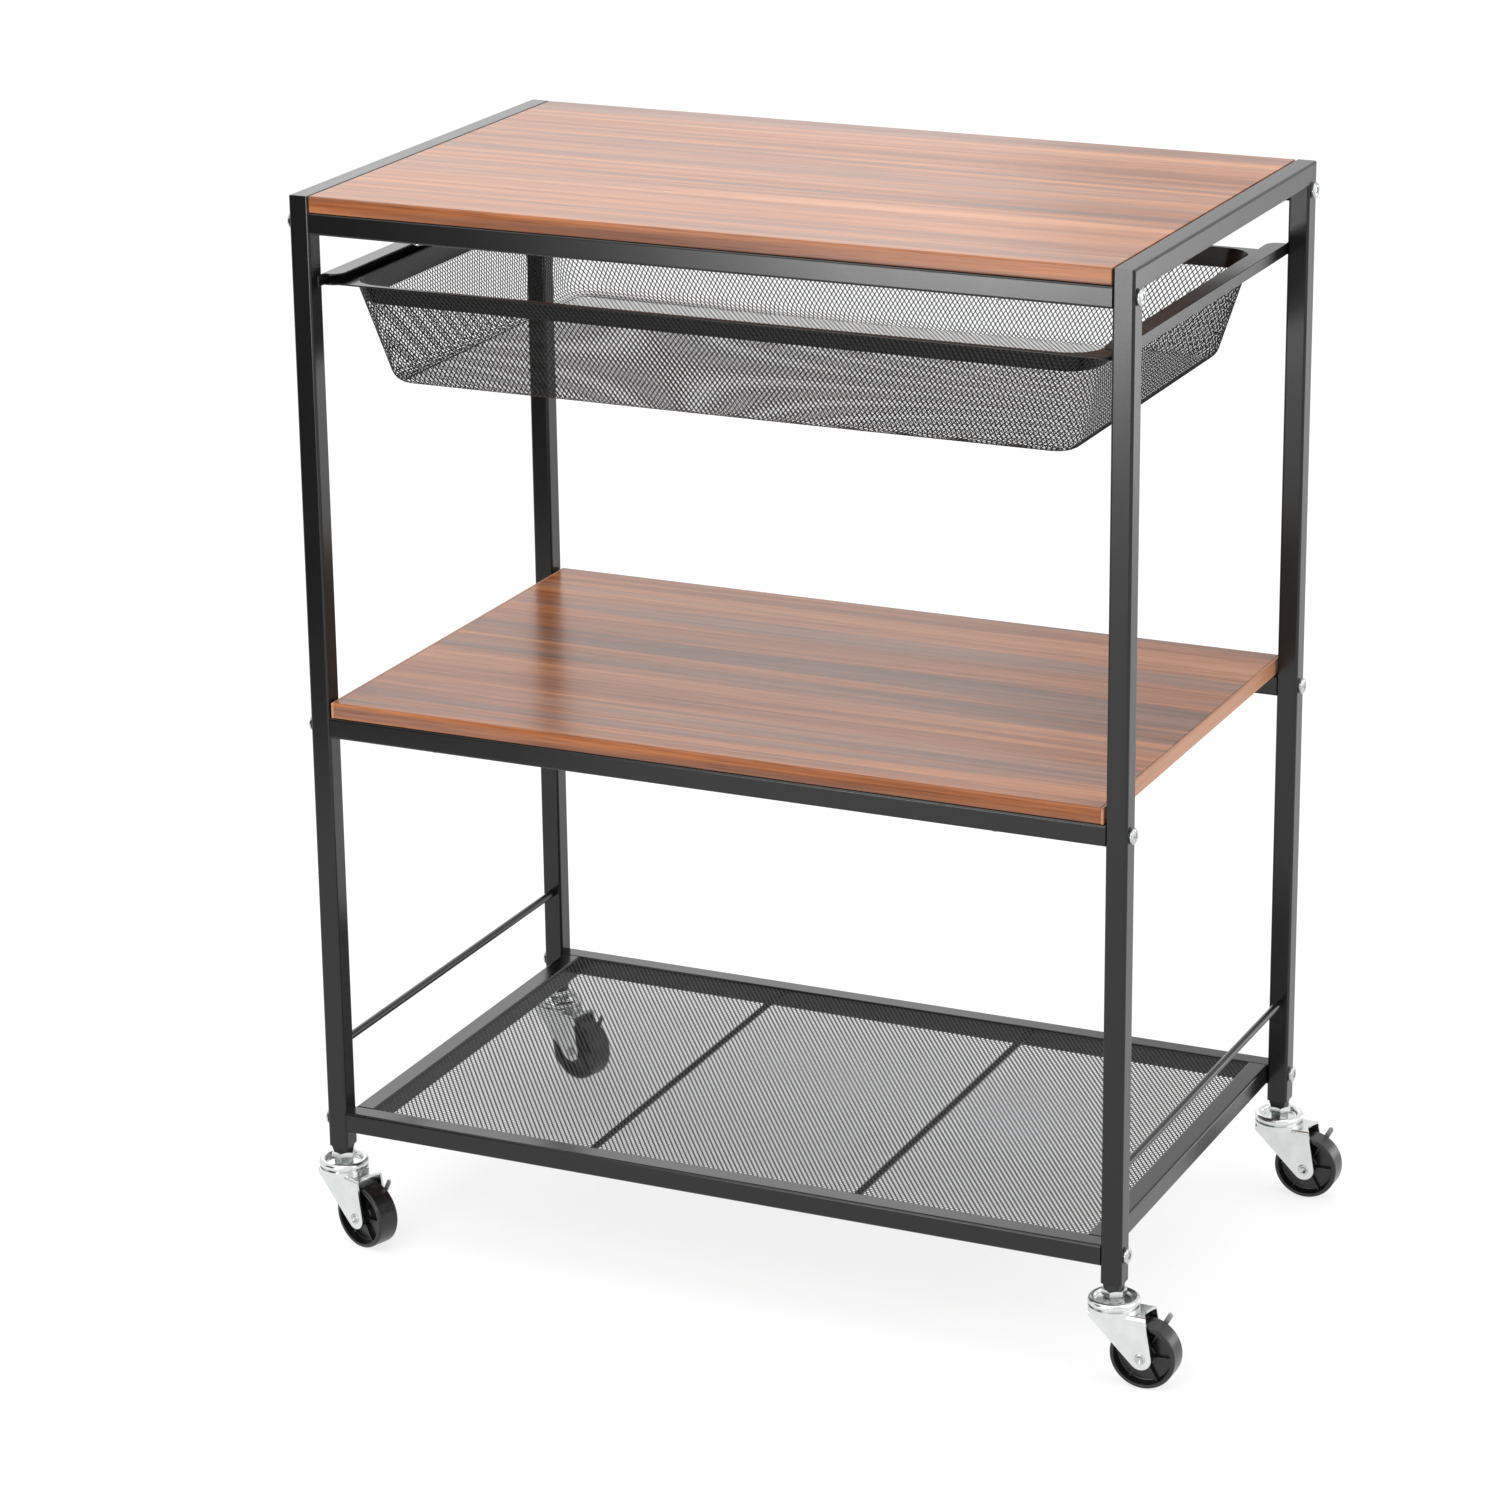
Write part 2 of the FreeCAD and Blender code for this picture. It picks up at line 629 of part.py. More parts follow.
def gap_grid(label, role, length, half_width, foot, top, columns, rows, level=None):
    """A grid of blocks across a plane, for the gaps between a mesh wall's bars."""
    body = document.addObject("PartDesign::Body", label)
    sketch = sketch_on(body, role, level)
    step_across = f"((2 * {half_width} + basket_bar) / {columns})"
    step_up = f"(({top} - {foot} + basket_bar) / {rows})"
    block(sketch, f"-{half_width}", f"{step_across} - {half_width} - basket_bar",
          foot, f"{foot} + {step_up} - basket_bar")
    gap = pad(body, sketch, length, symmetric=True)
    pattern = body.newObject("PartDesign::LinearPattern", f"{label}_pattern")
    pattern.Originals = [gap]
    pattern.Direction = (sketch, ["H_Axis"])
    pattern.Direction2 = (sketch, ["V_Axis"])
    pattern.setExpression("Length", cells(f"{step_across} * ({columns} - 1)"))
    pattern.setExpression("Length2", cells(f"{step_up} * ({rows} - 1)"))
    pattern.setExpression("Occurrences", cells(columns))
    pattern.setExpression("Occurrences2", cells(rows))
    body.Tip = pattern
    return body


def cut(label, base, tool):
    feature = document.addObject("Part::Cut", label)
    feature.Base = base
    feature.Tool = tool
    return feature


# Drawer basket: a thin-walled tapered tub, open at the top, with a rounded floor edge and a grid of gaps that
# stands for its mesh in the floor and in the walls below the rim's band
basket_shell = cut("basket_shell", tub("basket_outside", "basket_height", "0", "basket_floor_round"),
                   tub("basket_inside", "(basket_height - basket_sheet)", "basket_sheet",
                       "(basket_floor_round - basket_sheet)"))
GRID_X = f"({BASKET_X} - basket_side_draft - basket_floor_corner)"
GRID_Y = f"({BASKET_Y} - basket_end_draft - basket_floor_corner)"
GRID_FOOT = "(basket_floor_round - basket_height)"
GRID_TOP = "(-band_height - basket_bar)"
floor_gaps = gap_grid("floor_gaps", "XY_Plane", "4 * basket_sheet", GRID_X, f"(-{GRID_Y})", GRID_Y,
                      "basket_columns", "basket_side_columns", "-basket_height")
end_gaps = gap_grid("end_gaps", "XZ_Plane", f"3 * {BASKET_Y}", GRID_X, GRID_FOOT, GRID_TOP,
                    "basket_columns", "basket_rows")
side_gaps = gap_grid("side_gaps", "YZ_Plane", f"3 * {BASKET_X}", GRID_Y, GRID_FOOT, GRID_TOP,
                     "basket_side_columns", "basket_rows")
basket_floor = cut("basket_floor", basket_shell, floor_gaps)
basket_ends = cut("basket_ends", basket_floor, end_gaps)
basket = cut("drawer_basket", basket_ends, side_gaps)
basket.Label = "drawer_basket"
place(basket, "0", "-rim_forward", RIM_BASE)
nodes.append(basket)


def at_legs():
    """The foot of each leg, seen from above, as (side, end, position on the floor)."""
    for side, end in CORNERS:
        yield side, end, FreeCAD.Vector(SIDES[side] * number_of(LEG_X), ENDS[end] * number_of(LEG_Y), 0)


def leg_group(label, template):
    group(label, template, [(spot, FreeCAD.Rotation()) for _, _, spot in at_legs()])


# Leg plugs: a square body inside the tube, short of the lowest screw, and a tapered nose below it
PLUG_LENGTH = "(bottom_shelf_height - tube_width / 2 - screw_diameter / 2 - plug_screw_gap)"
STEM_TOP = f"({LEG_FOOT} + {PLUG_LENGTH} - stem_end_gap)"
plug = new_body("leg_plug")
plug_section = sketch_on(plug, "XY_Plane", LEG_FOOT)
square(plug_section, f"({TUBE_BORE} - 2 * plug_play)")
pad(plug, plug_section, PLUG_LENGTH)
nose_section = sketch_on(plug, "XY_Plane", LEG_FOOT)
square(nose_section, "(tube_width - 2 * plug_inset)")
nose = pad(plug, nose_section, "plug_taper_height", reverse=True)
nose.setExpression("TaperAngle", cells("-plug_taper_angle"))
drill(plug, "XY_Plane", "0", "0", "stem_diameter + 2 * stem_play")
leg_group("leg_plugs", plug)

# Jam nuts under the plugs
nut = new_body("jam_nut")
nut_section = sketch_on(nut, "XY_Plane", NUT_BASE)
hexagon(nut_section, "nut_width")
pad(nut, nut_section, "nut_height")
drill(nut, "XY_Plane", "0", "0", "stem_diameter + 2 * stem_play")
leg_group("jam_nuts", nut)

# Stems: threaded rod, hexagon that seats in the cup, and the king pin with its riveted head under the fork
stem = new_body("caster_stem")
PIN_RADIUS = "(stem_diameter / 2 - stem_play)"
PIN_HEAD_TOP = f"({FORK_TOP} - fork_sheet - king_pin_head_gap)"
PIN_HEAD_RADIUS = "(king_pin_head_diameter / 2)"
stem_half = sketch_on(stem, "XZ_Plane")
outline(stem_half, [("0", f"{PIN_HEAD_TOP} - king_pin_head_height"),
                    (f"{PIN_HEAD_RADIUS} * 0.7", f"{PIN_HEAD_TOP} - king_pin_head_height"),
                    (PIN_HEAD_RADIUS, f"{PIN_HEAD_TOP} - king_pin_head_height / 2"),
                    (PIN_HEAD_RADIUS, PIN_HEAD_TOP), (PIN_RADIUS, PIN_HEAD_TOP), (PIN_RADIUS, NUT_BASE),
                    ("stem_diameter / 2", NUT_BASE), ("stem_diameter / 2", STEM_TOP), ("0", STEM_TOP)])
revolve(stem, stem_half)
stem_hex = sketch_on(stem, "XY_Plane", STEM_SEAT)
hexagon(stem_hex, "stem_hex_width")
pad(stem, stem_hex, "stem_hex_height")
leg_group("caster_stems", stem)

# Bearing cups: a floor that the stem clamps and a rolled channel round it for the bearing
cup = new_body("bearing_cup")
cup_half = sketch_on(cup, "XZ_Plane")
CUP_TOP = f"({CUP_BASE} + cup_height)"
CHANNEL_TOP = f"({CUP_TOP} - cup_sheet)"
CUP_RADIUS = "(cup_diameter / 2)"
MOUTH_RADIUS = "(cup_mouth_diameter / 2)"
PIN_HOLE = "(stem_diameter / 2)"
outline(cup_half, [(PIN_HOLE, CUP_BASE), (f"{MOUTH_RADIUS} + cup_sheet", CUP_BASE),
                   (f"{MOUTH_RADIUS} + cup_sheet", CHANNEL_TOP), (f"{CUP_RADIUS} - cup_sheet", CHANNEL_TOP),
                   (f"{CUP_RADIUS} - cup_sheet", CUP_BASE), (CUP_RADIUS, CUP_BASE), (CUP_RADIUS, CUP_TOP),
                   (MOUTH_RADIUS, CUP_TOP), (MOUTH_RADIUS, STEM_SEAT), (PIN_HOLE, STEM_SEAT)])
revolve(cup, cup_half)
cup_radius, cup_top = number_of(CUP_RADIUS), number_of(CUP_TOP)
fillet(cup, "cup_roll", lambda edge: circle_at(edge, cup_radius, cup_top))
leg_group("bearing_cups", cup)

# Parts of each caster that swivel, roll or press
TAIL_RUN = "(fork_tail - caster_trail)"
TAIL_TANGENT = f"(atan2(fork_rise; {TAIL_RUN}) - acos(fork_end_radius / hypot(fork_rise; {TAIL_RUN})))"
NOSE_RUN = "(-fork_nose - caster_trail)"
NOSE_RISE = "(fork_rise - fork_nose_depth)"
NOSE_TANGENT = f"(atan2({NOSE_RISE}; {NOSE_RUN}) + acos(fork_end_radius / hypot({NOSE_RISE}; {NOSE_RUN})))"
FORK_INNER = "(fork_width / 2 - fork_sheet)"
LEVER_OUTER = f"({FORK_INNER} - lever_side_gap)"
LEVER_INNER = f"({LEVER_OUTER} - lever_sheet)"
TREAD_SIDE = "(wheel_width / 2)"
CHANNEL_MIDDLE = f"({MOUTH_RADIUS} + {CUP_RADIUS})"

for side, end in CORNERS:
    corner = f"{side}_{end}"
    turn = f"{corner}_turn"
    angle = SIZES[turn]
    axis_x, axis_y = f"({SIDES[side]} * {LEG_X})", f"({ENDS[end]} * {LEG_Y})"
    wheel_x = f"{axis_x} + caster_trail * cos({turn})"
    wheel_y = f"{axis_y} - caster_trail * sin({turn})"
    swivelled = turned((AXIS_Z, -angle))
    across = turned((AXIS_Z, -angle), (AXIS_X, -90))

    # Fork: a pressed plate with two side legs, a round track on top and a scooped tail
    fork = new_body(f"{corner}_fork")
    profile = sketch_on(fork, "XZ_Plane")
    outline(profile, [("-fork_nose", FORK_TOP), ("fork_tail", FORK_TOP),
                      (f"caster_trail + fork_end_radius * cos({TAIL_TANGENT})",
                       f"{AXLE_LEVEL} + fork_end_radius * sin({TAIL_TANGENT})"),
                      (f"caster_trail + fork_end_radius * cos({NOSE_TANGENT})",
                       f"{AXLE_LEVEL} + fork_end_radius * sin({NOSE_TANGENT})"),
                      ("-fork_nose", f"{FORK_TOP} - fork_nose_depth")])
    pad(fork, profile, "fork_width", symmetric=True)
    fork_top = number_of(FORK_TOP)
    fillet(fork, "fork_bend",
           lambda edge: runs_along(edge, AXIS_X) and abs(edge.Vertexes[0].Z - fork_top) < 0.001)
    bosses = sketch_on(fork, "XZ_Plane")
    circle(bosses, "caster_trail", AXLE_LEVEL, "2 * fork_end_radius")
    pad(fork, bosses, "fork_width", symmetric=True)
    track = sketch_on(fork, "XY_Plane", f"{FORK_TOP} - fork_sheet")
    circle(track, "0", "0", "race_diameter")
    pad(fork, track, "fork_sheet + race_height")
    wheel_room = sketch_on(fork, "XZ_Plane")
    block(wheel_room, "-2 * fork_nose", "4 * fork_tail", f"-{AXLE_LEVEL}", f"{FORK_TOP} - fork_sheet")
    well = pocket(fork, wheel_room, f"2 * {FORK_INNER}")
    well.SideType = "Symmetric"
    rib = sketch_on(fork, "XY_Plane", RACE_TOP)
    circle(rib, "0", "0", f"{CHANNEL_MIDDLE} + race_rib_width")
    circle(rib, "0", "0", f"{CHANNEL_MIDDLE} - race_rib_width")
    pad(fork, rib, "race_rib_height")
    scoop_cut = sketch_on(fork, "XY_Plane", FORK_TOP)
    circle(scoop_cut, "fork_tail - fork_tail_scoop_depth + fork_tail_scoop", "0", "2 * fork_tail_scoop")
    pocket(fork, scoop_cut, "fork_sheet")
    drill(fork, "XY_Plane", "0", "0", f"2 * ({PIN_RADIUS} + king_pin_play)")
    drill(fork, "XZ_Plane", "caster_trail", AXLE_LEVEL, "axle_diameter + 2 * axle_play")
    place(fork, axis_x, axis_y, "0", swivelled)

    # Swivel bearing between the fork's rib and the cup
    bearing = new_body(f"{corner}_bearing")
    ring = sketch_on(bearing, "XY_Plane", f"{RACE_TOP} + race_rib_height + bearing_gap")
    circle(ring, "0", "0", f"{CHANNEL_MIDDLE} + race_rib_width")
    circle(ring, "0", "0", f"{CHANNEL_MIDDLE} - race_rib_width")
    pad(bearing, ring, "bearing_height")
    place(bearing, axis_x, axis_y, "0", swivelled)

    # Axle: a hollow rivet with a flared head outside each fork leg
    axle = new_body(f"{corner}_axle")
    axle_half = sketch_on(axle, "XZ_Plane")
    bore, shaft, head = "axle_bore / 2", "axle_diameter / 2", "axle_head_diameter / 2"
    seat, tip = "(fork_width / 2)", "(fork_width / 2 + axle_head_height)"
    outline(axle_half, [(bore, f"-{tip}"), (head, f"-{tip}"), (head, f"-{seat}"), (shaft, f"-{seat}"),
                        (shaft, seat), (head, seat), (head, tip), (bore, tip)])
    revolve(axle, axle_half)
    place(axle, wheel_x, wheel_y, AXLE_LEVEL, across)

    # Wheel: tread with eased edges, dished sides and a hub that reaches to the fork and the lever
    wheel = new_body(f"{corner}_wheel")
    wheel_half = sketch_on(wheel, "XZ_Plane")
    tread, ease = "(wheel_diameter / 2)", "wheel_edge"
    dish_top = f"({tread} - wheel_rim)"
    hub, axle_hole = "hub_diameter / 2", "axle_diameter / 2 + axle_play"
    near_hub, far_hub = f"-({FORK_INNER} - hub_side_gap)", f"({LEVER_INNER} - hub_side_gap)"
    outline(wheel_half, [(axle_hole, near_hub), (hub, near_hub), (hub, "-wheel_web / 2"),
                         (f"{dish_top} - wheel_dish_slope", "-wheel_web / 2"), (dish_top, f"-{TREAD_SIDE}"),
                         (f"{tread} - {ease}", f"-{TREAD_SIDE}"), (tread, f"-({TREAD_SIDE} - {ease})"),
                         (tread, f"{TREAD_SIDE} - {ease}"), (f"{tread} - {ease}", TREAD_SIDE),
                         (dish_top, TREAD_SIDE), (f"{dish_top} - wheel_dish_slope", "wheel_web / 2"),
                         (hub, "wheel_web / 2"), (hub, far_hub), (axle_hole, far_hub)])
    revolve(wheel, wheel_half)
    place(wheel, wheel_x, wheel_y, AXLE_LEVEL, across)

    # Brake lever: a flat eye on the axle and an arm that reaches past the tread on the far side
    lever = new_body(f"{corner}_brake_lever")
    plate = sketch_on(lever, "XY_Plane", LEVER_INNER)
    circle(plate, "0", "0", "lever_eye_diameter")
    pad(lever, plate, "lever_sheet")
    arm = sketch_on(lever, "XY_Plane", LEVER_INNER)
    tip_x = "(lever_reach - lever_width / 2)"
    block(arm, "0", tip_x, "-lever_width / 2", "lever_width / 2")
    pad(lever, arm, "lever_sheet")
    tip_round = sketch_on(lever, "XY_Plane", LEVER_INNER)
    circle(tip_round, tip_x, "0", "lever_width")
    pad(lever, tip_round, "lever_sheet")
    drill(lever, "XY_Plane", "0", "0", "axle_diameter + 2 * axle_play")
    raised = turned((AXIS_Z, -angle), (AXIS_X, -90), (AXIS_Z, -SIZES["lever_angle"]))
    place(lever, wheel_x, wheel_y, AXLE_LEVEL, raised)

# Every object is checked before anything is written
document.recompute()
for item in document.Objects:
    if "Invalid" in item.State or "Error" in item.State:
        raise RuntimeError(f"{item.Label} failed: {item.State}")
for item in nodes:
    if item.Shape.isNull() or not item.Shape.isValid():
        raise RuntimeError(f"{item.Label} has no valid shape")
os.makedirs("parts", exist_ok=True)
for item in nodes:
    item.Shape.exportStep(f"parts/{item.Label}.step")
print(len(nodes), "nodes written")
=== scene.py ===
import json
import math

import bmesh
import bpy
import numpy as np
from mathutils import Matrix, Vector


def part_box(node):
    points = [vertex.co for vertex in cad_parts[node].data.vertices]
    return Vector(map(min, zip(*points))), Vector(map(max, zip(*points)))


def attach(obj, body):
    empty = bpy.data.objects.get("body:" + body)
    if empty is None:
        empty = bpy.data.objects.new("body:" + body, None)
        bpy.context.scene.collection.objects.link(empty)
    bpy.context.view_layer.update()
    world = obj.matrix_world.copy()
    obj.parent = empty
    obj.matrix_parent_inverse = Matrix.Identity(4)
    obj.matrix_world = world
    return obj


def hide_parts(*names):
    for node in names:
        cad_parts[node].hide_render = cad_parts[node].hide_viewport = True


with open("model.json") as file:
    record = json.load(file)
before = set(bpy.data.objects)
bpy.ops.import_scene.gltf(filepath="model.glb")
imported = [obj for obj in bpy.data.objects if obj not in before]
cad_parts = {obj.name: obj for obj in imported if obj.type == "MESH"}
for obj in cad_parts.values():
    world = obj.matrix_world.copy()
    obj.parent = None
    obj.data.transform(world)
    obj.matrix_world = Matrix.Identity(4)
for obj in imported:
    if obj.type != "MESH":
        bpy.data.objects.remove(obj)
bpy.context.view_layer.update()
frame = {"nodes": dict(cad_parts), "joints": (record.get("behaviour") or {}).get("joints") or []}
nodes = frame["nodes"]

# Black steelwork. The end frames, cross rails, shelf frame and rods are square tube and round rod,
# welded or screwed together. All of it has one semi-gloss black powder coat with a fine orange peel.
PEEL_SIZE = 0.0012
PEEL_HEIGHT = 0.00006
HANDLING_PER_METRE = 9.0
COAT_COLOUR = (0.006, 0.006, 0.0058, 1)
TUBE_EASE = 0.0004
SHARP_EDGE = math.radians(35)
SHADED_SHARP = math.radians(32)
FLAT_ENOUGH = math.radians(0.5)
TINY_LENGTH = 1e-6


class Signal:
    """An output of a material's nodes. Sums and products on it add Math nodes."""

    def __init__(self, tree, socket):
        self.tree = tree
        self.socket = socket

    def node(self, kind, settings, inputs, output=0):
        """A new node of this kind, set up first and then fed. Gives one of its outputs."""
        made = self.tree.nodes.new(kind)
        for name, value in settings.items():
            if name == "stops":
                ramp = made.color_ramp.elements
                while len(ramp) < len(value):
                    ramp.new(1)
                for stop, (position, colour) in zip(ramp, value):
                    stop.position = position
                    stop.color = colour
            else:
                setattr(made, name, value)
        for name, value in inputs.items():
            if isinstance(value, Signal):
                self.tree.links.new(value.socket, made.inputs[name])
            else:
                made.inputs[name].default_value = value
        return Signal(self.tree, made.outputs[output])

    def math(self, operation, left, right):
        """One Math node on two numbers."""
        return self.node("ShaderNodeMath", {"operation": operation}, {0: left, 1: right})

    def __add__(self, other):
        return self.math("ADD", self, other)

    def __radd__(self, other):
        return self.math("ADD", other, self)

    def __mul__(self, other):
        return self.math("MULTIPLY", self, other)

    def __rmul__(self, other):
        return self.math("MULTIPLY", other, self)

    def stretched(self, scale):
        """These coordinates, scaled along each axis."""
        return self.node("ShaderNodeMapping", {}, {"Vector": self, "Scale": scale})

    def noise(self, scale, detail=2.0, roughness=0.5, distortion=0.0):
        """Cloudy noise on these coordinates, from 0 to 1."""
        feeds = {"Vector": self, "Scale": scale, "Detail": detail, "Roughness": roughness}
        return self.node("ShaderNodeTexNoise", {}, {**feeds, "Distortion": distortion})

    def ramp(self, *stops):
        """A colour from this number, through stops of (position, colour)."""
        return self.node("ShaderNodeValToRGB", {"stops": stops}, {"Fac": self})

    def between(self, low, high, start=0.0, end=1.0):
        """This number moved from the range start to end to another range."""
        feeds = {"Value": self, "From Min": start, "From Max": end, "To Min": low, "To Max": high}
        return self.node("ShaderNodeMapRange", {}, feeds)

    def over(self, under, share):
        """This colour laid over another by a share."""
        factor, first_colour, second_colour, mixed_colour = 0, 6, 7, 2
        feeds = {factor: share, first_colour: under, second_colour: self}
        return self.node("ShaderNodeMix", {"data_type": "RGBA"}, feeds, mixed_colour)

    def bump(self, distance, strength=1.0):
        """A surface normal from this height."""
        return self.node("ShaderNodeBump", {}, {"Height": self, "Distance": distance, "Strength": strength})


def finish(name, **constants):
    """A material with a plain principled shader, that shader, and the object's own coordinates."""
    material = bpy.data.materials.new(name)
    material.use_nodes = True
    tree = material.node_tree
    shader = tree.nodes["Principled BSDF"]
    for socket, value in constants.items():
        shader.inputs[socket.replace("_", " ")].default_value = value
    start = Signal(tree, shader.outputs["BSDF"])
    return material, shader, start.node("ShaderNodeTexCoord", {}, {}, "Object")


def feed(shader, **signals):
    """Links signals to the sockets of a shader or an output."""
    for socket, signal in signals.items():
        signal.tree.links.new(signal.socket, shader.inputs[socket.replace("_", " ")])


coat, coat_shader, coat_at = finish("black powder coat", Base_Color=COAT_COLOUR, IOR=1.45)
peel = coat_at.noise(1 / PEEL_SIZE, detail=1.0)
handling = coat_at.noise(HANDLING_PER_METRE, detail=4.0, roughness=0.6)
feed(coat_shader, Roughness=handling.between(low=0.17, high=0.26),
     Normal=peel.bump(PEEL_HEIGHT, strength=0.3))


def in_scene(name, data):
    """A new object of a mesh, lamp or camera, in the scene."""
    made = bpy.data.objects.new(name, data)
    bpy.context.scene.collection.objects.link(made)
    return made


def applied(piece):
    """A plain mesh of a piece with its modifiers applied."""
    return bpy.data.meshes.new_from_object(piece.evaluated_get(bpy.context.evaluated_depsgraph_get()))


def smooth_piece(name, mesh, material):
    """An object of a mesh, shaded smooth over its rounded edges and flat on its large faces."""
    mesh.polygons.foreach_set("use_smooth", [True] * len(mesh.polygons))
    mesh.set_sharp_from_angle(angle=SHADED_SHARP)
    mesh.materials.clear()
    mesh.materials.append(material)
    piece = in_scene(name, mesh)
    weighted = piece.modifiers.new("weighted normals", "WEIGHTED_NORMAL")
    weighted.keep_sharp = True
    piece.data = applied(piece)
    piece.modifiers.clear()
    return piece


def eased(node, ease, steps=2, finish_with=None, body="frame"):
    """A copy of a CAD node with its sharp edges rounded, in place of the node."""
    shape = bmesh.new()
    shape.from_mesh(nodes[node].data)
    bmesh.ops.remove_doubles(shape, verts=shape.verts, dist=TINY_LENGTH)
    bmesh.ops.dissolve_limit(shape, angle_limit=FLAT_ENOUGH, verts=shape.verts, edges=shape.edges)
    edges = [edge for edge in shape.edges if edge.is_manifold and edge.calc_face_angle() > SHARP_EDGE]
    bmesh.ops.bevel(shape, geom=edges, offset=ease, offset_type="OFFSET", segments=steps, profile=0.5,
                    affect="EDGES", clamp_overlap=True)
    mesh = bpy.data.meshes.new(f"{node}_eased")
    shape.to_mesh(mesh)
    shape.free()
    piece = smooth_piece(f"{node}_eased", mesh, finish_with or coat)
    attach(piece, body)
    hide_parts(node)


for name in list(nodes):
    if name.endswith(("_leg", "_rail", "_guard_rod")) or name == "shelf_cross_bars":
        eased(name, TUBE_EASE)

# Drawer runners. C-shaped channels of folded sheet with rounded ends, welded between the legs of each
# end frame and coated with them. Their folded edges are soft.
RUNNER_EASE = 0.0005
for side in ("left", "right"):
    eased(f"{side}_drawer_runner", RUNNER_EASE)

# Boards. Chipboard with a printed walnut foil under a satin film, wrapped over the long edges. The grain
# runs from side to side, in pale orange and grey-brown streaks with fine dark pores.
GRAIN_BAND = {"width": 0.042, "length": 1.3}
STREAK = {"width": 0.0085, "length": 0.42}
HUE_PATCH = {"width": 0.021, "length": 0.9}
PORE = {"width": 0.0009, "length": 0.05}
PORE_HEIGHT = 0.00003
WAVER_PER_METRE = (3.0, 9.0, 9.0)
GRAIN_BAND_SHARE = 0.34
STREAK_SHARE = 0.52
WAVER_SHARE = 0.14
WARM_TONES = ((0.34, (0.18, 0.053, 0.018, 1)), (0.43, (0.305, 0.1, 0.035, 1)),
              (0.5, (0.42, 0.152, 0.058, 1)), (0.57, (0.51, 0.205, 0.085, 1)),
              (0.67, (0.6, 0.275, 0.13, 1)))
GREY_TONES = ((0.34, (0.115, 0.052, 0.034, 1)), (0.5, (0.235, 0.111, 0.074, 1)),
              (0.67, (0.37, 0.197, 0.136, 1)))
BOARD_EASE = 0.0008
wood, wood_shader, wood_at = finish("walnut foil", Specular_IOR_Level=0.2)


def along_grain(width, length):
    """Coordinates on which noise of scale 1 gives streaks of this width and length."""
    return wood_at.stretched((1 / length, 1 / width, 1 / width))


waver = wood_at.stretched(WAVER_PER_METRE).noise(1.0)
bands = along_grain(**GRAIN_BAND).noise(1.0, distortion=0.35)
streaks = along_grain(**STREAK).noise(1.0, detail=4.0, roughness=0.62, distortion=0.5)
hues = along_grain(**HUE_PATCH).noise(1.0, distortion=0.4)
pores = along_grain(**PORE).noise(1.0, roughness=0.55)
grain = bands * GRAIN_BAND_SHARE + streaks * STREAK_SHARE + waver * WAVER_SHARE
grey_share = hues.between(low=0.0, high=0.95, start=0.46, end=0.6)
mixed_tone = grain.ramp(*GREY_TONES).over(grain.ramp(*WARM_TONES), grey_share)
dark_pores = pores.between(low=0.62, high=1.0, start=0.3, end=0.46)
pored = mixed_tone.node("ShaderNodeHueSaturation", {}, {"Color": mixed_tone, "Value": dark_pores})
feed(wood_shader, Base_Color=pored, Roughness=streaks.between(low=0.2, high=0.3),
     Normal=pores.bump(PORE_HEIGHT, strength=0.25))
for board in ("top_board", "middle_board"):
    eased(board, BOARD_EASE, steps=3, finish_with=wood)

# Edge bands. Strips of plain plastic in a light wood colour, glued over the cut ends of the middle
# board, with their long edges trimmed round.
BAND_THICKNESS = 0.0025
BAND_EASE = 0.0009
BAND_STREAKS_PER_METRE = (220.0, 6.0, 900.0)
BAND_TONES = ((0.3, (0.4, 0.17, 0.085, 1)), (0.7, (0.52, 0.26, 0.15, 1)))
band_tan, band_shader, band_at = finish("tan edge band", Specular_IOR_Level=0.3)
band_streak = band_at.stretched(BAND_STREAKS_PER_METRE).noise(1.0)
feed(band_shader, Base_Color=band_streak.ramp(*BAND_TONES),
     Roughness=band_streak.between(low=0.3, high=0.42))
board_low, board_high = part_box("middle_board")
for side, near in (("left", board_low.x - BAND_THICKNESS), ("right", board_high.x)):
    band = bmesh.new()
    band_size = Vector((BAND_THICKNESS, board_high.y - board_low.y, board_high.z - board_low.z))
    band_middle = Vector((near, board_low.y, board_low.z)) + band_size / 2
    bmesh.ops.create_cube(band, size=1, matrix=Matrix.LocRotScale(band_middle, None, band_size))
    bmesh.ops.bevel(band, geom=band.edges, offset=BAND_EASE, segments=3, profile=0.5, affect="EDGES")
    band_mesh = bpy.data.meshes.new(f"{side} edge band")
    band.to_mesh(band_mesh)
    band.free()
    strip = smooth_piece(f"{side}_edge_band", band_mesh, band_tan)
    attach(strip, "frame")

# Bottom shelf mesh. One sheet of flattened expanded steel, welded to the inside of the shelf frame and
# resting on two cross bars, coated with the frame. It is made as the strands between its diamond gaps.
GAP_WIDTH = 0.004
GAP_LENGTH = 0.0056
STRAND_WIDTH = 0.001
STRAND_DEPTH = 0.00032
STRAND_TWIST = math.radians(8)
WEAR_PER_METRE = 40.0
mesh_coat, mesh_shader, mesh_at = finish("black coat on mesh", Base_Color=COAT_COLOUR,
                                         Specular_IOR_Level=0.28)
wear = mesh_at.noise(WEAR_PER_METRE, detail=3.0, roughness=0.6)
feed(mesh_shader, Roughness=wear.between(low=0.38, high=0.55))


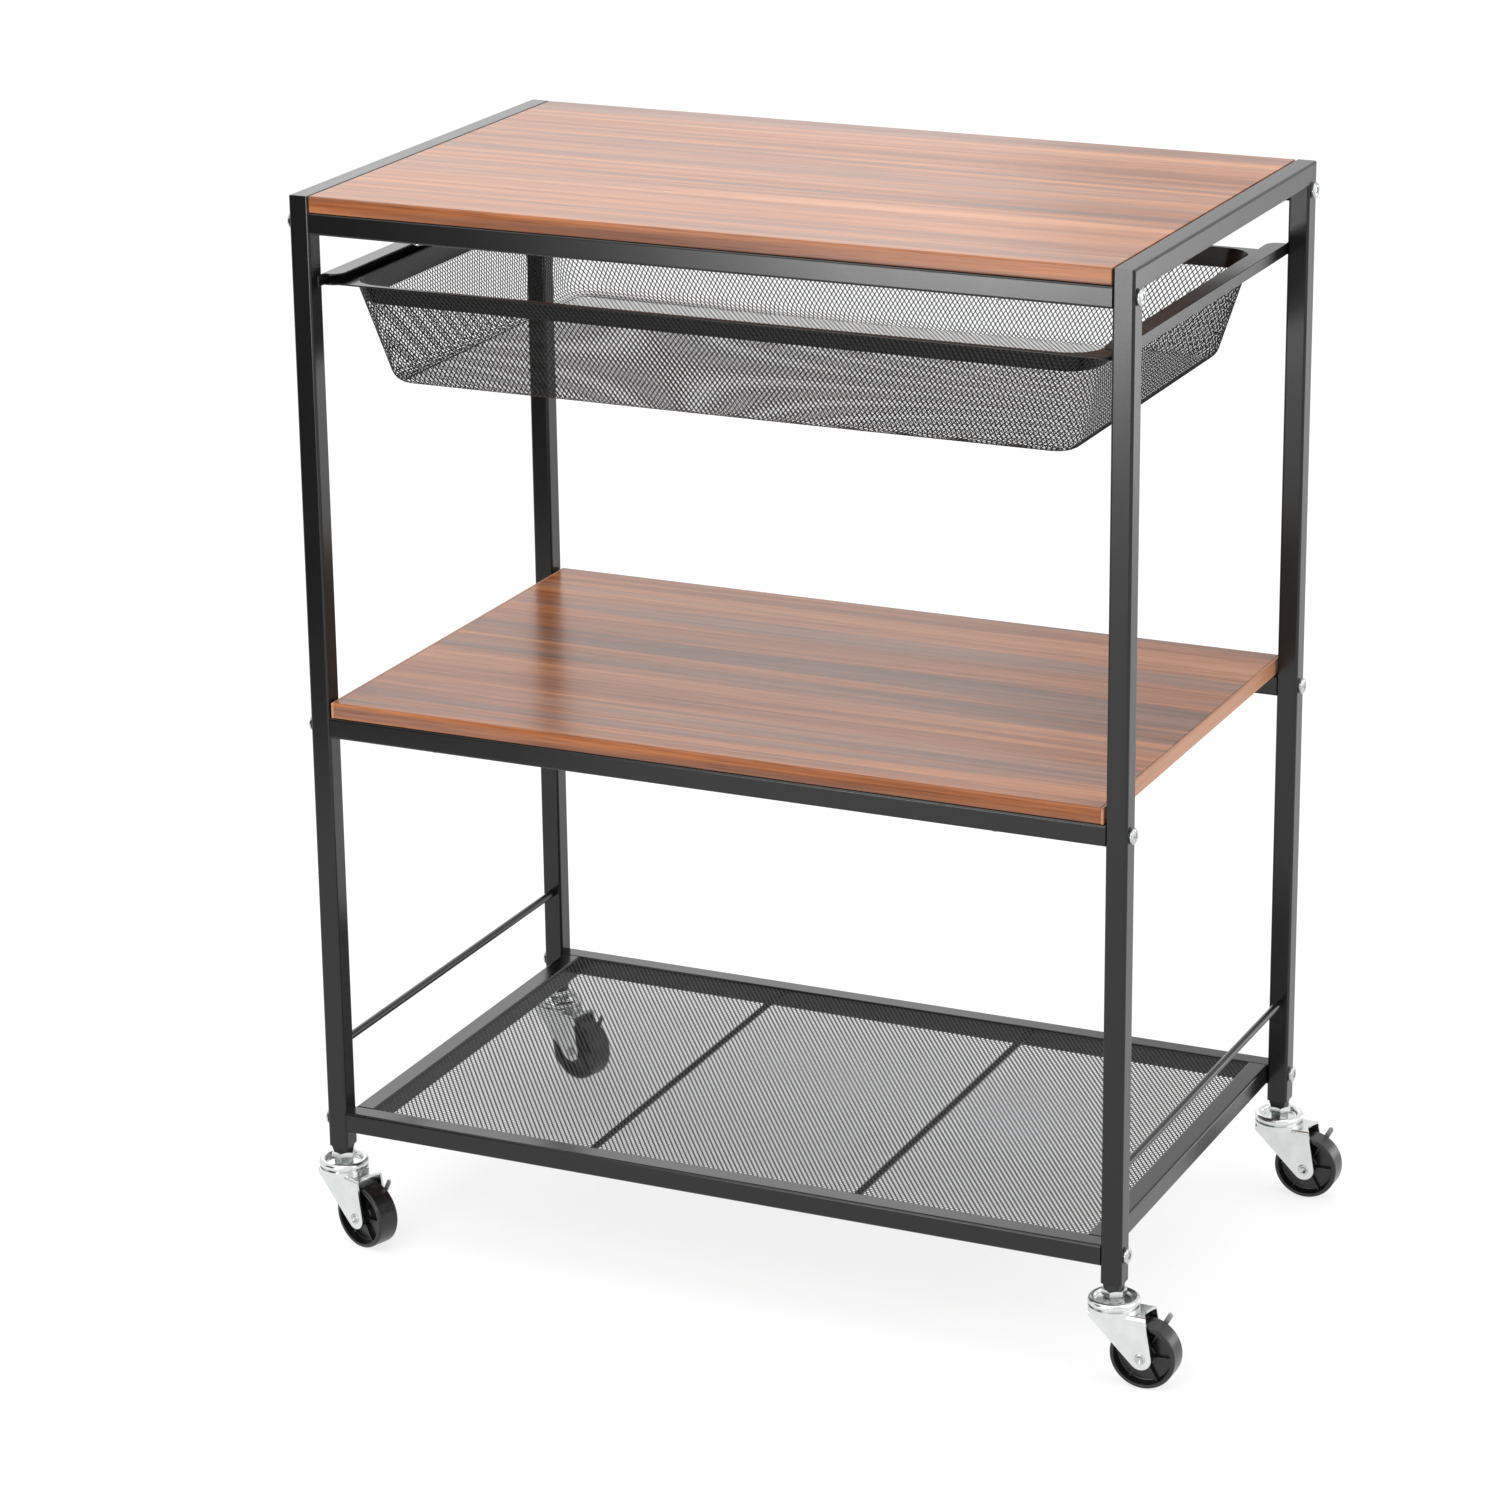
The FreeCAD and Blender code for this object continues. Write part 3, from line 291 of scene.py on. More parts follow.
def started_tree(name, source, result, inputs):
    """A geometry node tree with its sockets, its way in, and the identifiers of its named inputs."""
    tree = bpy.data.node_groups.new(name, "GeometryNodeTree")
    tree.interface.new_socket(source, in_out="INPUT", socket_type="NodeSocketGeometry")
    keys = {}
    for label, kind in inputs.items():
        keys[label] = tree.interface.new_socket(label, in_out="INPUT", socket_type=kind).identifier
    tree.interface.new_socket(result, in_out="OUTPUT", socket_type="NodeSocketGeometry")
    return tree, tree.nodes.new("NodeGroupInput"), keys


def stored_vector(tree, name):
    """The output of a node that reads a vector stored on the points."""
    reader = tree.nodes.new("GeometryNodeInputNamedAttribute")
    reader.data_type = "FLOAT_VECTOR"
    reader.inputs["Name"].default_value = name
    return reader.outputs["Attribute"]


def end_tree(tree, way_in, shape):
    """Ends a tree: makes its copies real, gives them the finish and passes them out."""
    realize = tree.nodes.new("GeometryNodeRealizeInstances")
    coated = tree.nodes.new("GeometryNodeSetMaterial")
    way_out = tree.nodes.new("NodeGroupOutput")
    tree.links.new(shape, realize.inputs["Geometry"])
    tree.links.new(realize.outputs["Geometry"], coated.inputs["Geometry"])
    tree.links.new(way_in.outputs["Finish"], coated.inputs["Material"])
    tree.links.new(coated.outputs["Geometry"], way_out.inputs[0])


def strand_tree():
    """Geometry nodes that turn the edges of a lattice into strands of expanded metal."""
    tree, way_in, keys = started_tree("expanded metal strands", "Lattice", "Strands", {
        "Strand width": "NodeSocketFloat", "Strand depth": "NodeSocketFloat",
        "Finish": "NodeSocketMaterial"})
    lines = tree.nodes.new("GeometryNodeMeshToCurve")
    normal = tree.nodes.new("GeometryNodeSetCurveNormal")
    normal.mode = "FREE"
    section = tree.nodes.new("GeometryNodeCurvePrimitiveQuadrilateral")
    sweep = tree.nodes.new("GeometryNodeCurveToMesh")
    tree.links.new(way_in.outputs["Lattice"], lines.inputs["Mesh"])
    tree.links.new(lines.outputs["Curve"], normal.inputs["Curve"])
    tree.links.new(stored_vector(tree, "facing"), normal.inputs["Normal"])
    tree.links.new(way_in.outputs["Strand depth"], section.inputs["Width"])
    tree.links.new(way_in.outputs["Strand width"], section.inputs["Height"])
    tree.links.new(normal.outputs["Curve"], sweep.inputs["Curve"])
    tree.links.new(section.outputs["Curve"], sweep.inputs["Profile Curve"])
    end_tree(tree, way_in, sweep.outputs["Mesh"])
    return tree, keys


def made_by_nodes(name, mesh, tree, settings):
    """A plain mesh object of what a geometry node tree makes from a mesh."""
    source = in_scene(name + "_source", mesh)
    modifier = source.modifiers.new("nodes", "NODES")
    modifier.node_group = tree
    for identifier, value in settings.items():
        modifier[identifier] = value
    result = applied(source)
    source.modifiers.remove(modifier)
    bpy.data.objects.remove(source)
    return in_scene(name, result)


STRANDS, STRAND_INPUTS = strand_tree()


def expanded_metal(name, points, edges, facings, width=STRAND_WIDTH):
    """Strands along the edges of a lattice, each twisted a little out of the sheet, in the black coat."""
    edges = np.asarray(edges)
    ends = np.asarray(points, float)[edges]
    sheet = np.asarray(facings, float)[edges]
    across = np.cross(ends[:, 1:] - ends[:, :1], sheet)
    across /= np.linalg.norm(across, axis=2, keepdims=True)
    twisted = sheet * math.cos(STRAND_TWIST) - across * math.sin(STRAND_TWIST)
    lattice = bpy.data.meshes.new(name + " lattice")
    lattice.from_pydata(ends.reshape(-1, 3).tolist(), np.arange(edges.size).reshape(-1, 2).tolist(), [])
    facing = lattice.attributes.new("facing", "FLOAT_VECTOR", "POINT")
    facing.data.foreach_set("vector", twisted.astype(np.float32).ravel())
    settings = {STRAND_INPUTS["Strand width"]: width, STRAND_INPUTS["Strand depth"]: STRAND_DEPTH,
                STRAND_INPUTS["Finish"]: mesh_coat}
    return made_by_nodes(name, lattice, STRANDS, settings)


def diamond_lattice(columns, rows, place, closed=False, keep=None):
    """Points and edges of a diamond lattice of half steps, put in place by a function of (column, row)."""
    index = {}
    points = []
    for row in range(rows + 1):
        for column in range(row % 2, columns + (0 if closed else 1), 2):
            if keep is None or keep(column, row):
                index[column, row] = len(points)
                points.append(place(column, row))
    edges = []
    for (column, row), start in index.items():
        for step in (-1, 1):
            across = column + step
            if closed:
                across %= columns
            if (across, row + 1) in index:
                edges.append((start, index[across, row + 1]))
    return points, edges


mesh_low, mesh_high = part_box("shelf_mesh")
bar_low, bar_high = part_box("shelf_cross_bars")
bar_width = bar_high.z - bar_low.z
panel_ends = [mesh_low.x, bar_low.x + bar_width / 2, bar_high.x - bar_width / 2, mesh_high.x]
mesh_rows = 2 * round((mesh_high.y - mesh_low.y) / GAP_LENGTH)
step_y = (mesh_high.y - mesh_low.y) / mesh_rows
for panel, (left, right) in enumerate(zip(panel_ends, panel_ends[1:])):
    mesh_columns = 2 * round((right - left) / GAP_WIDTH)
    step_x = (right - left) / mesh_columns
    level = mesh_high.z - STRAND_DEPTH / 2
    spots, strips = diamond_lattice(mesh_columns, mesh_rows, lambda column, row: (
        left + column * step_x, mesh_low.y + row * step_y, level))
    sheet = expanded_metal(f"shelf_mesh_panel_{panel + 1}", spots, strips, [(0, 0, 1)] * len(spots))
    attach(sheet, "frame")
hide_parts("shelf_mesh")

# Drawer rim. Folded sheet: a flat flange that hangs in the runners and a band inside the top of the
# basket, spot-welded to the mesh and coated with it. Its folds are soft.
RIM_EASE = 0.0005
eased("drawer_rim", RIM_EASE, body="drawer")

# Drawer basket. Expanded steel pressed into a tapered tub with rounded corners and a rounded floor edge,
# welded round the rim's band. The walls and the floor are lattices of narrower strands than the shelf's.
TUB_STRAND = 0.0007
FLOOR_STRAND = 0.00058
FLOOR_ROUND = 0.008
TOP_CORNER = 0.026
FLOOR_CORNER = 0.018
SIDE_DRAFT = 0.022
END_DRAFT = 0.019
FACING_LIMIT = 1.5
tub_low, tub_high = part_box("drawer_basket")
tub_middle = (tub_low + tub_high) / 2
tub_depth = tub_high.z - tub_low.z


def tub_outline(depth, inset):
    """Half width, half depth and corner radius of the basket at a depth below its top."""
    share = depth / tub_depth
    half_x = (tub_high.x - tub_low.x) / 2 - SIDE_DRAFT * share - inset
    half_y = (tub_high.y - tub_low.y) / 2 - END_DRAFT * share - inset
    return half_x, half_y, TOP_CORNER + (FLOOR_CORNER - TOP_CORNER) * share - inset


def on_outline(half_x, half_y, corner, way):
    """The point of a rounded rectangle at a share of the way round, and its outward direction."""
    lengths = [2 * (half_x - corner), corner * math.pi / 2, 2 * (half_y - corner), corner * math.pi / 2] * 2
    distance = way % 1 * sum(lengths)
    outs = [Vector((0, -1)), Vector((1, 0)), Vector((0, 1)), Vector((-1, 0))]
    centres = [Vector((half_x - corner, corner - half_y)), Vector((half_x - corner, half_y - corner)),
               Vector((corner - half_x, half_y - corner)), Vector((corner - half_x, corner - half_y))]
    for side in range(4):
        out, along = outs[side], outs[(side + 1) % 4]
        if distance <= lengths[2 * side]:
            return centres[side - 1] + out * corner + along * distance, out
        distance -= lengths[2 * side]
        if distance <= lengths[2 * side + 1] or side == 3:
            angle = distance / corner
            heading = out * math.cos(angle) + along * math.sin(angle)
            return centres[side] + heading * corner, heading
        distance -= lengths[2 * side + 1]


top_half = tub_outline(0, 0)
tub_round = 2 * math.pi * top_half[2] + 4 * (top_half[0] + top_half[1] - 2 * top_half[2])
wall_columns = 4 * round(tub_round / GAP_WIDTH / 2)
straight_length = math.hypot(tub_depth - FLOOR_ROUND, SIDE_DRAFT)
wall_length = straight_length + FLOOR_ROUND * math.pi / 2
wall_rows = 2 * round(wall_length / GAP_LENGTH)
wall_facings = []


def on_wall(column, row):
    """A lattice point on the wall: straight down the draft, then round the floor edge. Notes its facing."""
    run = row / wall_rows * wall_length
    depth, inset, fall = run / straight_length * (tub_depth - FLOOR_ROUND), 0, SIDE_DRAFT / tub_depth
    if run > straight_length:
        angle = (run - straight_length) / FLOOR_ROUND
        depth = tub_depth - FLOOR_ROUND * (1 - math.sin(angle))
        inset = FLOOR_ROUND * (1 - math.cos(angle))
        fall += math.tan(min(angle, FACING_LIMIT))
    spot, out = on_outline(*tub_outline(depth, inset + STRAND_DEPTH / 2), column / wall_columns)
    wall_facings.append(Vector((out.x, out.y, -fall)).normalized())
    return (tub_middle.x + spot.x, tub_middle.y + spot.y, tub_high.z - depth + STRAND_DEPTH / 2)


wall_points, wall_edges = diamond_lattice(wall_columns, wall_rows, on_wall, closed=True)
wall_points, wall_edges, wall_facings = np.array(wall_points), np.array(wall_edges), np.array(wall_facings)
middles = wall_points[wall_edges].mean(axis=1) - np.array(tub_middle)
sideways = top_half[0] - np.abs(middles[:, 0]) < top_half[1] - np.abs(middles[:, 1])
basket_sides = {
    "left": sideways & (middles[:, 0] < 0),
    "right": sideways & (middles[:, 0] >= 0),
    "front": ~sideways & (middles[:, 1] < 0),
    "rear": ~sideways & (middles[:, 1] >= 0),
}
basket_pieces = []
for side, chosen in basket_sides.items():
    used, strips = np.unique(wall_edges[chosen], return_inverse=True)
    basket_pieces.append(expanded_metal(f"drawer_mesh_{side}", wall_points[used].tolist(),
                                        strips.reshape(-1, 2), wall_facings[used], TUB_STRAND))

floor_half = tub_outline(tub_depth, FLOOR_ROUND)
floor_columns = 4 * round(floor_half[0] / GAP_WIDTH)
floor_rows = 4 * round(floor_half[1] / GAP_LENGTH)
floor_step = Vector((2 * floor_half[0] / floor_columns, 2 * floor_half[1] / floor_rows))


def on_floor(column, row):
    """A lattice point on the flat floor."""
    return (tub_middle.x - floor_half[0] + column * floor_step.x,
            tub_middle.y - floor_half[1] + row * floor_step.y, tub_low.z + STRAND_DEPTH / 2)


def inside_floor(column, row):
    """Whether a lattice point lies inside the floor's rounded outline."""
    x = abs(column * floor_step.x - floor_half[0])
    y = abs(row * floor_step.y - floor_half[1])
    over = Vector((max(0, x - floor_half[0] + floor_half[2]), max(0, y - floor_half[1] + floor_half[2])))
    return over.length <= floor_half[2] + TINY_LENGTH


middle_column = floor_columns // 2
for side, first, last in (("left", 0, middle_column), ("right", middle_column, floor_columns)):
    spots, strips = diamond_lattice(floor_columns, floor_rows, on_floor, keep=lambda column, row: (
        first <= column <= last and inside_floor(column, row)))
    basket_pieces.append(expanded_metal(f"drawer_mesh_floor_{side}", spots, strips, [(0, 0, 1)] * len(spots),
                                        FLOOR_STRAND))
for piece in basket_pieces:
    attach(piece, "drawer")
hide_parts("drawer_basket")

# Frame screws. Machine screws with mushroom heads that stand a little off the legs, and a cross recess.
# They go through the legs into inserts in the rails. The zinc on their steel shows faint clouds. It is
# darker than the other zinc: painted shade that tones down the bright floor it mirrors.
HEAD_RADIUS = 0.006
HEAD_HEIGHT = 0.0036
HEAD_DROP = 0.0002
HEAD_DOME = 0.0023
HEAD_RIM = 0.0018
HEAD_STAND = 0.0013
NECK_RADIUS = 0.0034
NECK_FOOT = -0.001
CROWN_RADIUS = 0.00374
CROWN_STEPS = 12
RECESS_ARM = 0.0034
RECESS_HALF_WIDTH = 0.00072
RECESS_DEPTH = 0.0021
RECESS_SLOPE = 0.6
SCREW_SPINS = {"top": 0.5, "middle": 1.3, "shelf": 0.2}
ZINC_CLOUDS_PER_METRE = 90.0
ZINC_TONES = ((0.3, (0.66, 0.68, 0.68, 1)), (0.7, (0.74, 0.755, 0.75, 1)))
# The screws' zinc is painted darker than the zinc above. This painted shade tones down the bright
# reflections.
SCREW_CLOUDS_PER_METRE = 300.0
SCREW_SHADE_TONES = ((0.3, (0.47, 0.485, 0.485, 1)), (0.7, (0.56, 0.575, 0.57, 1)))
zinc, zinc_shader, zinc_at = finish("bright zinc plate", Metallic=1.0)
cloud = zinc_at.noise(ZINC_CLOUDS_PER_METRE)
feed(zinc_shader, Base_Color=cloud.ramp(*ZINC_TONES), Roughness=cloud.between(low=0.17, high=0.24))
painted_shade_zinc, screw_shader, screw_at = finish("zinc darkened by painted shade", Metallic=1.0)
screw_cloud = screw_at.noise(SCREW_CLOUDS_PER_METRE)
feed(screw_shader, Base_Color=screw_cloud.ramp(*SCREW_SHADE_TONES),
     Roughness=screw_cloud.between(low=0.2, high=0.28))


def dress(names, material):
    """Gives CAD nodes a finish."""
    for name in names:
        for held in nodes[name].material_slots:
            held.material = material


dress(["board_screws", "rail_inserts"], zinc)


def turned_mesh(name, profile, segments, shape=None):
    """A mesh turned round the upright axis from (radius, height) points. A shape may move each point."""
    angles = np.linspace(0, 2 * math.pi, segments, endpoint=False)
    points = []
    for radius, height in profile:
        for angle in angles:
            spot = Vector((radius * math.cos(angle), radius * math.sin(angle), height))
            points.append(shape(spot, angle) if shape else spot)
    faces = []
    for ring in range(len(profile) - 1):
        for step in range(segments):
            near, far = ring * segments, (ring + 1) * segments
            after = (step + 1) % segments
            faces.append((near + step, near + after, far + after, far + step))
    mesh = bpy.data.meshes.new(name)
    mesh.from_pydata(points, [], faces)
    shaped = bmesh.new()
    shaped.from_mesh(mesh)
    bmesh.ops.remove_doubles(shaped, verts=shaped.verts, dist=TINY_LENGTH)
    bmesh.ops.recalc_face_normals(shaped, faces=shaped.faces)
    shaped.to_mesh(mesh)
    shaped.free()
    return mesh


def cross_recess(spot, angle):
    """Presses the cross into the top of the head."""
    near, far = sorted((abs(spot.x), abs(spot.y)))
    if near < RECESS_HALF_WIDTH and far < RECESS_ARM and spot.z > HEAD_HEIGHT / 2:
        reach = far / RECESS_ARM
        spot.z = HEAD_HEIGHT - RECESS_DEPTH * (1 - RECESS_SLOPE * reach ** 3)
    return spot


def place_tree():
    """Geometry nodes that put a copy of an object on each point of a mesh, by the point's turn."""
    tree, way_in, keys = started_tree("placed copies", "Places", "Copies", {
        "Copied object": "NodeSocketObject", "Finish": "NodeSocketMaterial"})
    source = tree.nodes.new("GeometryNodeObjectInfo")
    copies = tree.nodes.new("GeometryNodeInstanceOnPoints")
    tree.links.new(way_in.outputs["Places"], copies.inputs["Points"])
    tree.links.new(way_in.outputs["Copied object"], source.inputs["Object"])
    tree.links.new(source.outputs["Geometry"], copies.inputs["Instance"])
    tree.links.new(stored_vector(tree, "turn"), copies.inputs["Rotation"])
    end_tree(tree, way_in, copies.outputs["Instances"])
    return tree, keys


PLACED, PLACED_INPUTS = place_tree()


def copies_at(name, mesh, material, places, body="frame", node=None):
    """One piece of copies of a mesh at (point, turn) places, in place of a CAD node if one is named."""
    original = smooth_piece(name + "_one", mesh, material)
    points = bpy.data.meshes.new(name + " places")
    points.from_pydata([spot for spot, _ in places], [], [])
    turn = points.attributes.new("turn", "FLOAT_VECTOR", "POINT")
    turn.data.foreach_set("vector", np.array([angles for _, angles in places], np.float32).ravel())
    piece = made_by_nodes(name, points, PLACED,
                          {PLACED_INPUTS["Copied object"]: original, PLACED_INPUTS["Finish"]: material})
    bpy.data.objects.remove(original)
    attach(piece, body)
    if node:
        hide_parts(node)


head_profile = [(0.0, HEAD_HEIGHT)]
for step in range(1, CROWN_STEPS + 1):
    reach = step / CROWN_STEPS
    head_profile.append((CROWN_RADIUS * reach, HEAD_HEIGHT - HEAD_DROP * reach ** 2))
for degrees in range(10, 91, 10):
    angle = math.radians(degrees)
    head_profile.append((HEAD_RADIUS - HEAD_DOME * (1 - math.sin(angle)),
                         HEAD_RIM + (HEAD_HEIGHT - HEAD_DROP - HEAD_RIM) * math.cos(angle)))
head_profile += [(HEAD_RADIUS, HEAD_STAND), (NECK_RADIUS, HEAD_STAND), (NECK_RADIUS, NECK_FOOT)]
screw_head = turned_mesh("screw head", head_profile, segments=72, shape=cross_recess)
screw_places = []
for side, direction in (("left", -1), ("right", 1)):
    for end in ("front", "rear"):
        low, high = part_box(f"{side}_{end}_leg")
        middle = (low + high) / 2
        for rail, spin in SCREW_SPINS.items():
            rail_low, rail_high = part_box(f"{rail}_{end}_rail")
            spot = (high.x if direction > 0 else low.x, middle.y, (rail_low.z + rail_high.z) / 2)
            outward = Matrix.Rotation(spin, 3, "X") @ Matrix.Rotation(direction * math.pi / 2, 3, "Y")
            screw_places.append((spot, outward.to_euler()))
copies_at("frame_screw_heads", screw_head, painted_shade_zinc, screw_places, node="frame_screws")

# Leg plugs. Black moulded plugs pressed into the foot of each leg, with a tapered nose below it. The
# caster's stem is screwed up into them.
PLUG_EASE = 0.0006
PLUG_COLOUR = (0.011, 0.011, 0.011, 1)
MOTTLE_PER_METRE = 900.0
MOTTLE_HEIGHT = 0.00005
plug_black, plug_shader, plug_at = finish("black plug", Base_Color=PLUG_COLOUR)
mottle = plug_at.noise(MOTTLE_PER_METRE)
feed(plug_shader, Roughness=mottle.between(low=0.42, high=0.56),
     Normal=mottle.bump(MOTTLE_HEIGHT, strength=0.3))
eased("leg_plugs", PLUG_EASE, finish_with=plug_black)

# Stems, nuts and cups. Each caster has a threaded stem with a hexagon that clamps the rolled bearing
# cup, and a jam nut that locks the stem in the leg plug. All are turned or pressed steel in bright zinc.
NUT_WIDTH = 0.016
NUT_FACE = 0.95
NUT_CHAMFER = 0.97
NUT_SLOPE = 0.55
NUT_TURN = 0.26
NUT_TURN_STEP = 0.4
STEM_RADIUS = 0.005
STEM_HEX_WIDTH = 0.013
STEM_SEAT = 0.061
THREAD_PITCH = 0.0015
THREAD_CORE = 0.0042
PIN_RADIUS = 0.0049
PIN_HEAD_RADIUS = 0.007
PIN_HEAD_HEIGHT = 0.002
PIN_HEAD_CHAMFER = 0.001
PIN_FACE_SHARE = 0.7
nut_low, nut_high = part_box("jam_nuts")
cup_low, cup_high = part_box("bearing_cups")
stem_low, stem_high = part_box("caster_stems")
corner_spots = {}
for side in ("left", "right"):
    for end in ("front", "rear"):
        low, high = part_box(f"{side}_{end}_leg")
        corner_spots[f"{side}_{end}"] = Vector(((low.x + high.x) / 2, (low.y + high.y) / 2, 0))
leg_places = [(spot, (0, 0, NUT_TURN + NUT_TURN_STEP * number))
              for number, spot in enumerate(corner_spots.values())]


def hexagon_mesh(name, bore, width, foot, top):
    """A hexagon nut with turned chamfers on its corners, between two levels."""
    ring = width / 2
    sixth = math.pi / 3

    def six_sided(spot, angle):
        """Moves the rim out to the six flats, and its corners in from both faces by the chamfer."""
        if math.hypot(spot.x, spot.y) < ring * (1 + NUT_FACE) / 2:
            return spot
        out = 1 / math.cos((angle + sixth / 2) % sixth - sixth / 2)
        drop = max(0, out - NUT_CHAMFER) * ring * NUT_SLOPE
        return Vector((spot.x * out, spot.y * out, min(max(spot.z, foot + drop), top - drop)))

    profile = [(bore, foot), (ring * NUT_FACE, foot), (ring, foot), (ring, (foot + top) / 2), (ring, top),
               (ring * NUT_FACE, top), (bore, top), (bore, foot)]
    return turned_mesh(name, profile, segments=96, shape=six_sided)


jam_nut = hexagon_mesh("jam nut", STEM_RADIUS, NUT_WIDTH, nut_low.z, nut_high.z)
copies_at("caster_jam_nuts", jam_nut, zinc, leg_places, node="jam_nuts")
stem_hex = hexagon_mesh("stem hexagon", PIN_RADIUS, STEM_HEX_WIDTH, STEM_SEAT, nut_low.z)
copies_at("caster_stem_hexagons", stem_hex, zinc, leg_places, node="caster_stems")
pin_head_top = stem_low.z + PIN_HEAD_HEIGHT
thread_profile = [(0.0, stem_low.z), (PIN_HEAD_RADIUS * PIN_FACE_SHARE, stem_low.z),
                  (PIN_HEAD_RADIUS, stem_low.z + PIN_HEAD_CHAMFER), (PIN_HEAD_RADIUS, pin_head_top),
                  (PIN_RADIUS, pin_head_top), (PIN_RADIUS, STEM_SEAT)]
level = nut_low.z
while level < stem_high.z - THREAD_PITCH:
    thread_profile += [(THREAD_CORE, level), (STEM_RADIUS, level + THREAD_PITCH / 2)]
    level += THREAD_PITCH
thread_profile += [(THREAD_CORE, stem_high.z), (0.0, stem_high.z)]
stem_thread = turned_mesh("stem thread", thread_profile, segments=32)
copies_at("caster_stem_threads", stem_thread, zinc, leg_places)

CUP_MOUTH = 0.0134
CUP_RADIUS = 0.01894
CUP_ROLL = (CUP_RADIUS - CUP_MOUTH) / 2
CUP_SHEET = 0.0013
CUP_BORE = 0.0051
CUP_FILLET = 0.001
CUP_LIP_RISE = 0.0009
CUP_LIP = cup_low.z + CUP_LIP_RISE
CUP_LIP_EASE = 0.0006


def arc(centre, radius, start, end, steps):
    """Points of an arc in (radius, height), by angles in degrees."""
    angles = np.radians(np.linspace(start, end, steps))
    return [(centre[0] + radius * math.cos(angle), centre[1] + radius * math.sin(angle)) for angle in angles]


cup_profile = [(CUP_BORE, cup_low.z), (CUP_BORE, STEM_SEAT), (CUP_MOUTH - CUP_FILLET, STEM_SEAT)]
cup_profile += arc((CUP_MOUTH - CUP_FILLET, STEM_SEAT + CUP_FILLET), CUP_FILLET, -90, 0, 5)
cup_profile += arc((CUP_RADIUS - CUP_ROLL, cup_high.z - CUP_ROLL), CUP_ROLL, 180, 0, 15)
cup_profile += arc((CUP_RADIUS - CUP_LIP_EASE, CUP_LIP + CUP_LIP_EASE), CUP_LIP_EASE, 0, -90, 4)
cup_profile += [(CUP_RADIUS - CUP_SHEET, CUP_LIP), (CUP_RADIUS - CUP_SHEET, cup_high.z - CUP_ROLL),
                (CUP_MOUTH + CUP_SHEET, cup_high.z - CUP_ROLL), (CUP_MOUTH + CUP_SHEET, cup_low.z),
                (CUP_BORE, cup_low.z)]
bearing_cup = turned_mesh("bearing cup", cup_profile, segments=96)
copies_at("caster_bearing_cups", bearing_cup, zinc, leg_places, node="bearing_cups")

# Forks, bearings, axles and brake levers. Forks and levers are pressed from plate, and tumbling rounds
# their edges before the zinc. The axle is a rivet with rolled, dimpled ends. The bearing ring is near
# black, a painted shade for the gap between the cup and the fork.
FORK_EASE = 0.00035
LEVER_EASE = 0.0003
AXLE_RADIUS = 0.003
AXLE_DIMPLE_RADIUS = 0.0022
AXLE_DIMPLE_FLOOR = 0.0121
AXLE_DIMPLE_RISE = 0.0001
AXLE_SHOULDER = 0.0129
AXLE_END = 0.0132
AXLE_ROLL = 0.0009
AXLE_ROLL_RADIUS = 0.00325
AXLE_ROLL_LEVEL = 0.013
LEVER_TONES = ((0.3, (0.58, 0.59, 0.59, 1)), (0.7, (0.68, 0.69, 0.69, 1)))
DULLING_PER_METRE = 260.0
# The bearing's near-black colour is painted shade for the dark gap under the cup.
BEARING_SHADE_COLOUR = (0.012, 0.011, 0.01, 1)
BEARING_ROUGHNESS_PER_METRE = 500.0
lever_zinc, lever_shader, lever_at = finish("dull zinc lever", Metallic=1.0)
dulling = lever_at.noise(DULLING_PER_METRE, detail=3.0, roughness=0.6)
feed(lever_shader, Base_Color=dulling.ramp(*LEVER_TONES), Roughness=dulling.between(low=0.42, high=0.56))
painted_shade_bearing, painted_shade_bearing_shader, painted_shade_bearing_at = finish("bearing in painted shade", Base_Color=BEARING_SHADE_COLOUR)
feed(painted_shade_bearing_shader, Roughness=painted_shade_bearing_at.noise(BEARING_ROUGHNESS_PER_METRE).between(low=0.35, high=0.6))
far_end = [(AXLE_RADIUS, AXLE_SHOULDER)] + arc((AXLE_ROLL_RADIUS, AXLE_ROLL_LEVEL), AXLE_ROLL, 0, 150, 8)
far_end += [(AXLE_DIMPLE_RADIUS, AXLE_END), (AXLE_DIMPLE_RADIUS / 2, AXLE_DIMPLE_FLOOR + AXLE_DIMPLE_RISE),
            (0.0, AXLE_DIMPLE_FLOOR)]
axle_profile = [(radius, -height) for radius, height in reversed(far_end)] + far_end
hub_places = {}
for corner in corner_spots:
    eased(f"{corner}_fork", FORK_EASE, finish_with=zinc, body=f"{corner}_swivel")
    eased(f"{corner}_brake_lever", LEVER_EASE, finish_with=lever_zinc, body=f"{corner}_brake")
    dress([f"{corner}_bearing"], painted_shade_bearing)
    spin = next(joint for joint in frame["joints"] if joint["name"] == f"{corner}_wheel_spin")
    along = Vector(spin["axis"])
    hub_places[corner] = [(Vector(spin["pos_m"]), (-math.pi / 2, 0, math.atan2(-along.x, along.y)))]
    rivet = turned_mesh("rivet", axle_profile, segments=48)
    # The rivet takes the darker screw zinc. This painted shade lets its rolled ring show against the bright
    # fork.
    copies_at(f"{corner}_rivet", rivet, painted_shade_zinc, hub_places[corner], body=f"{corner}_swivel",
              node=f"{corner}_axle")

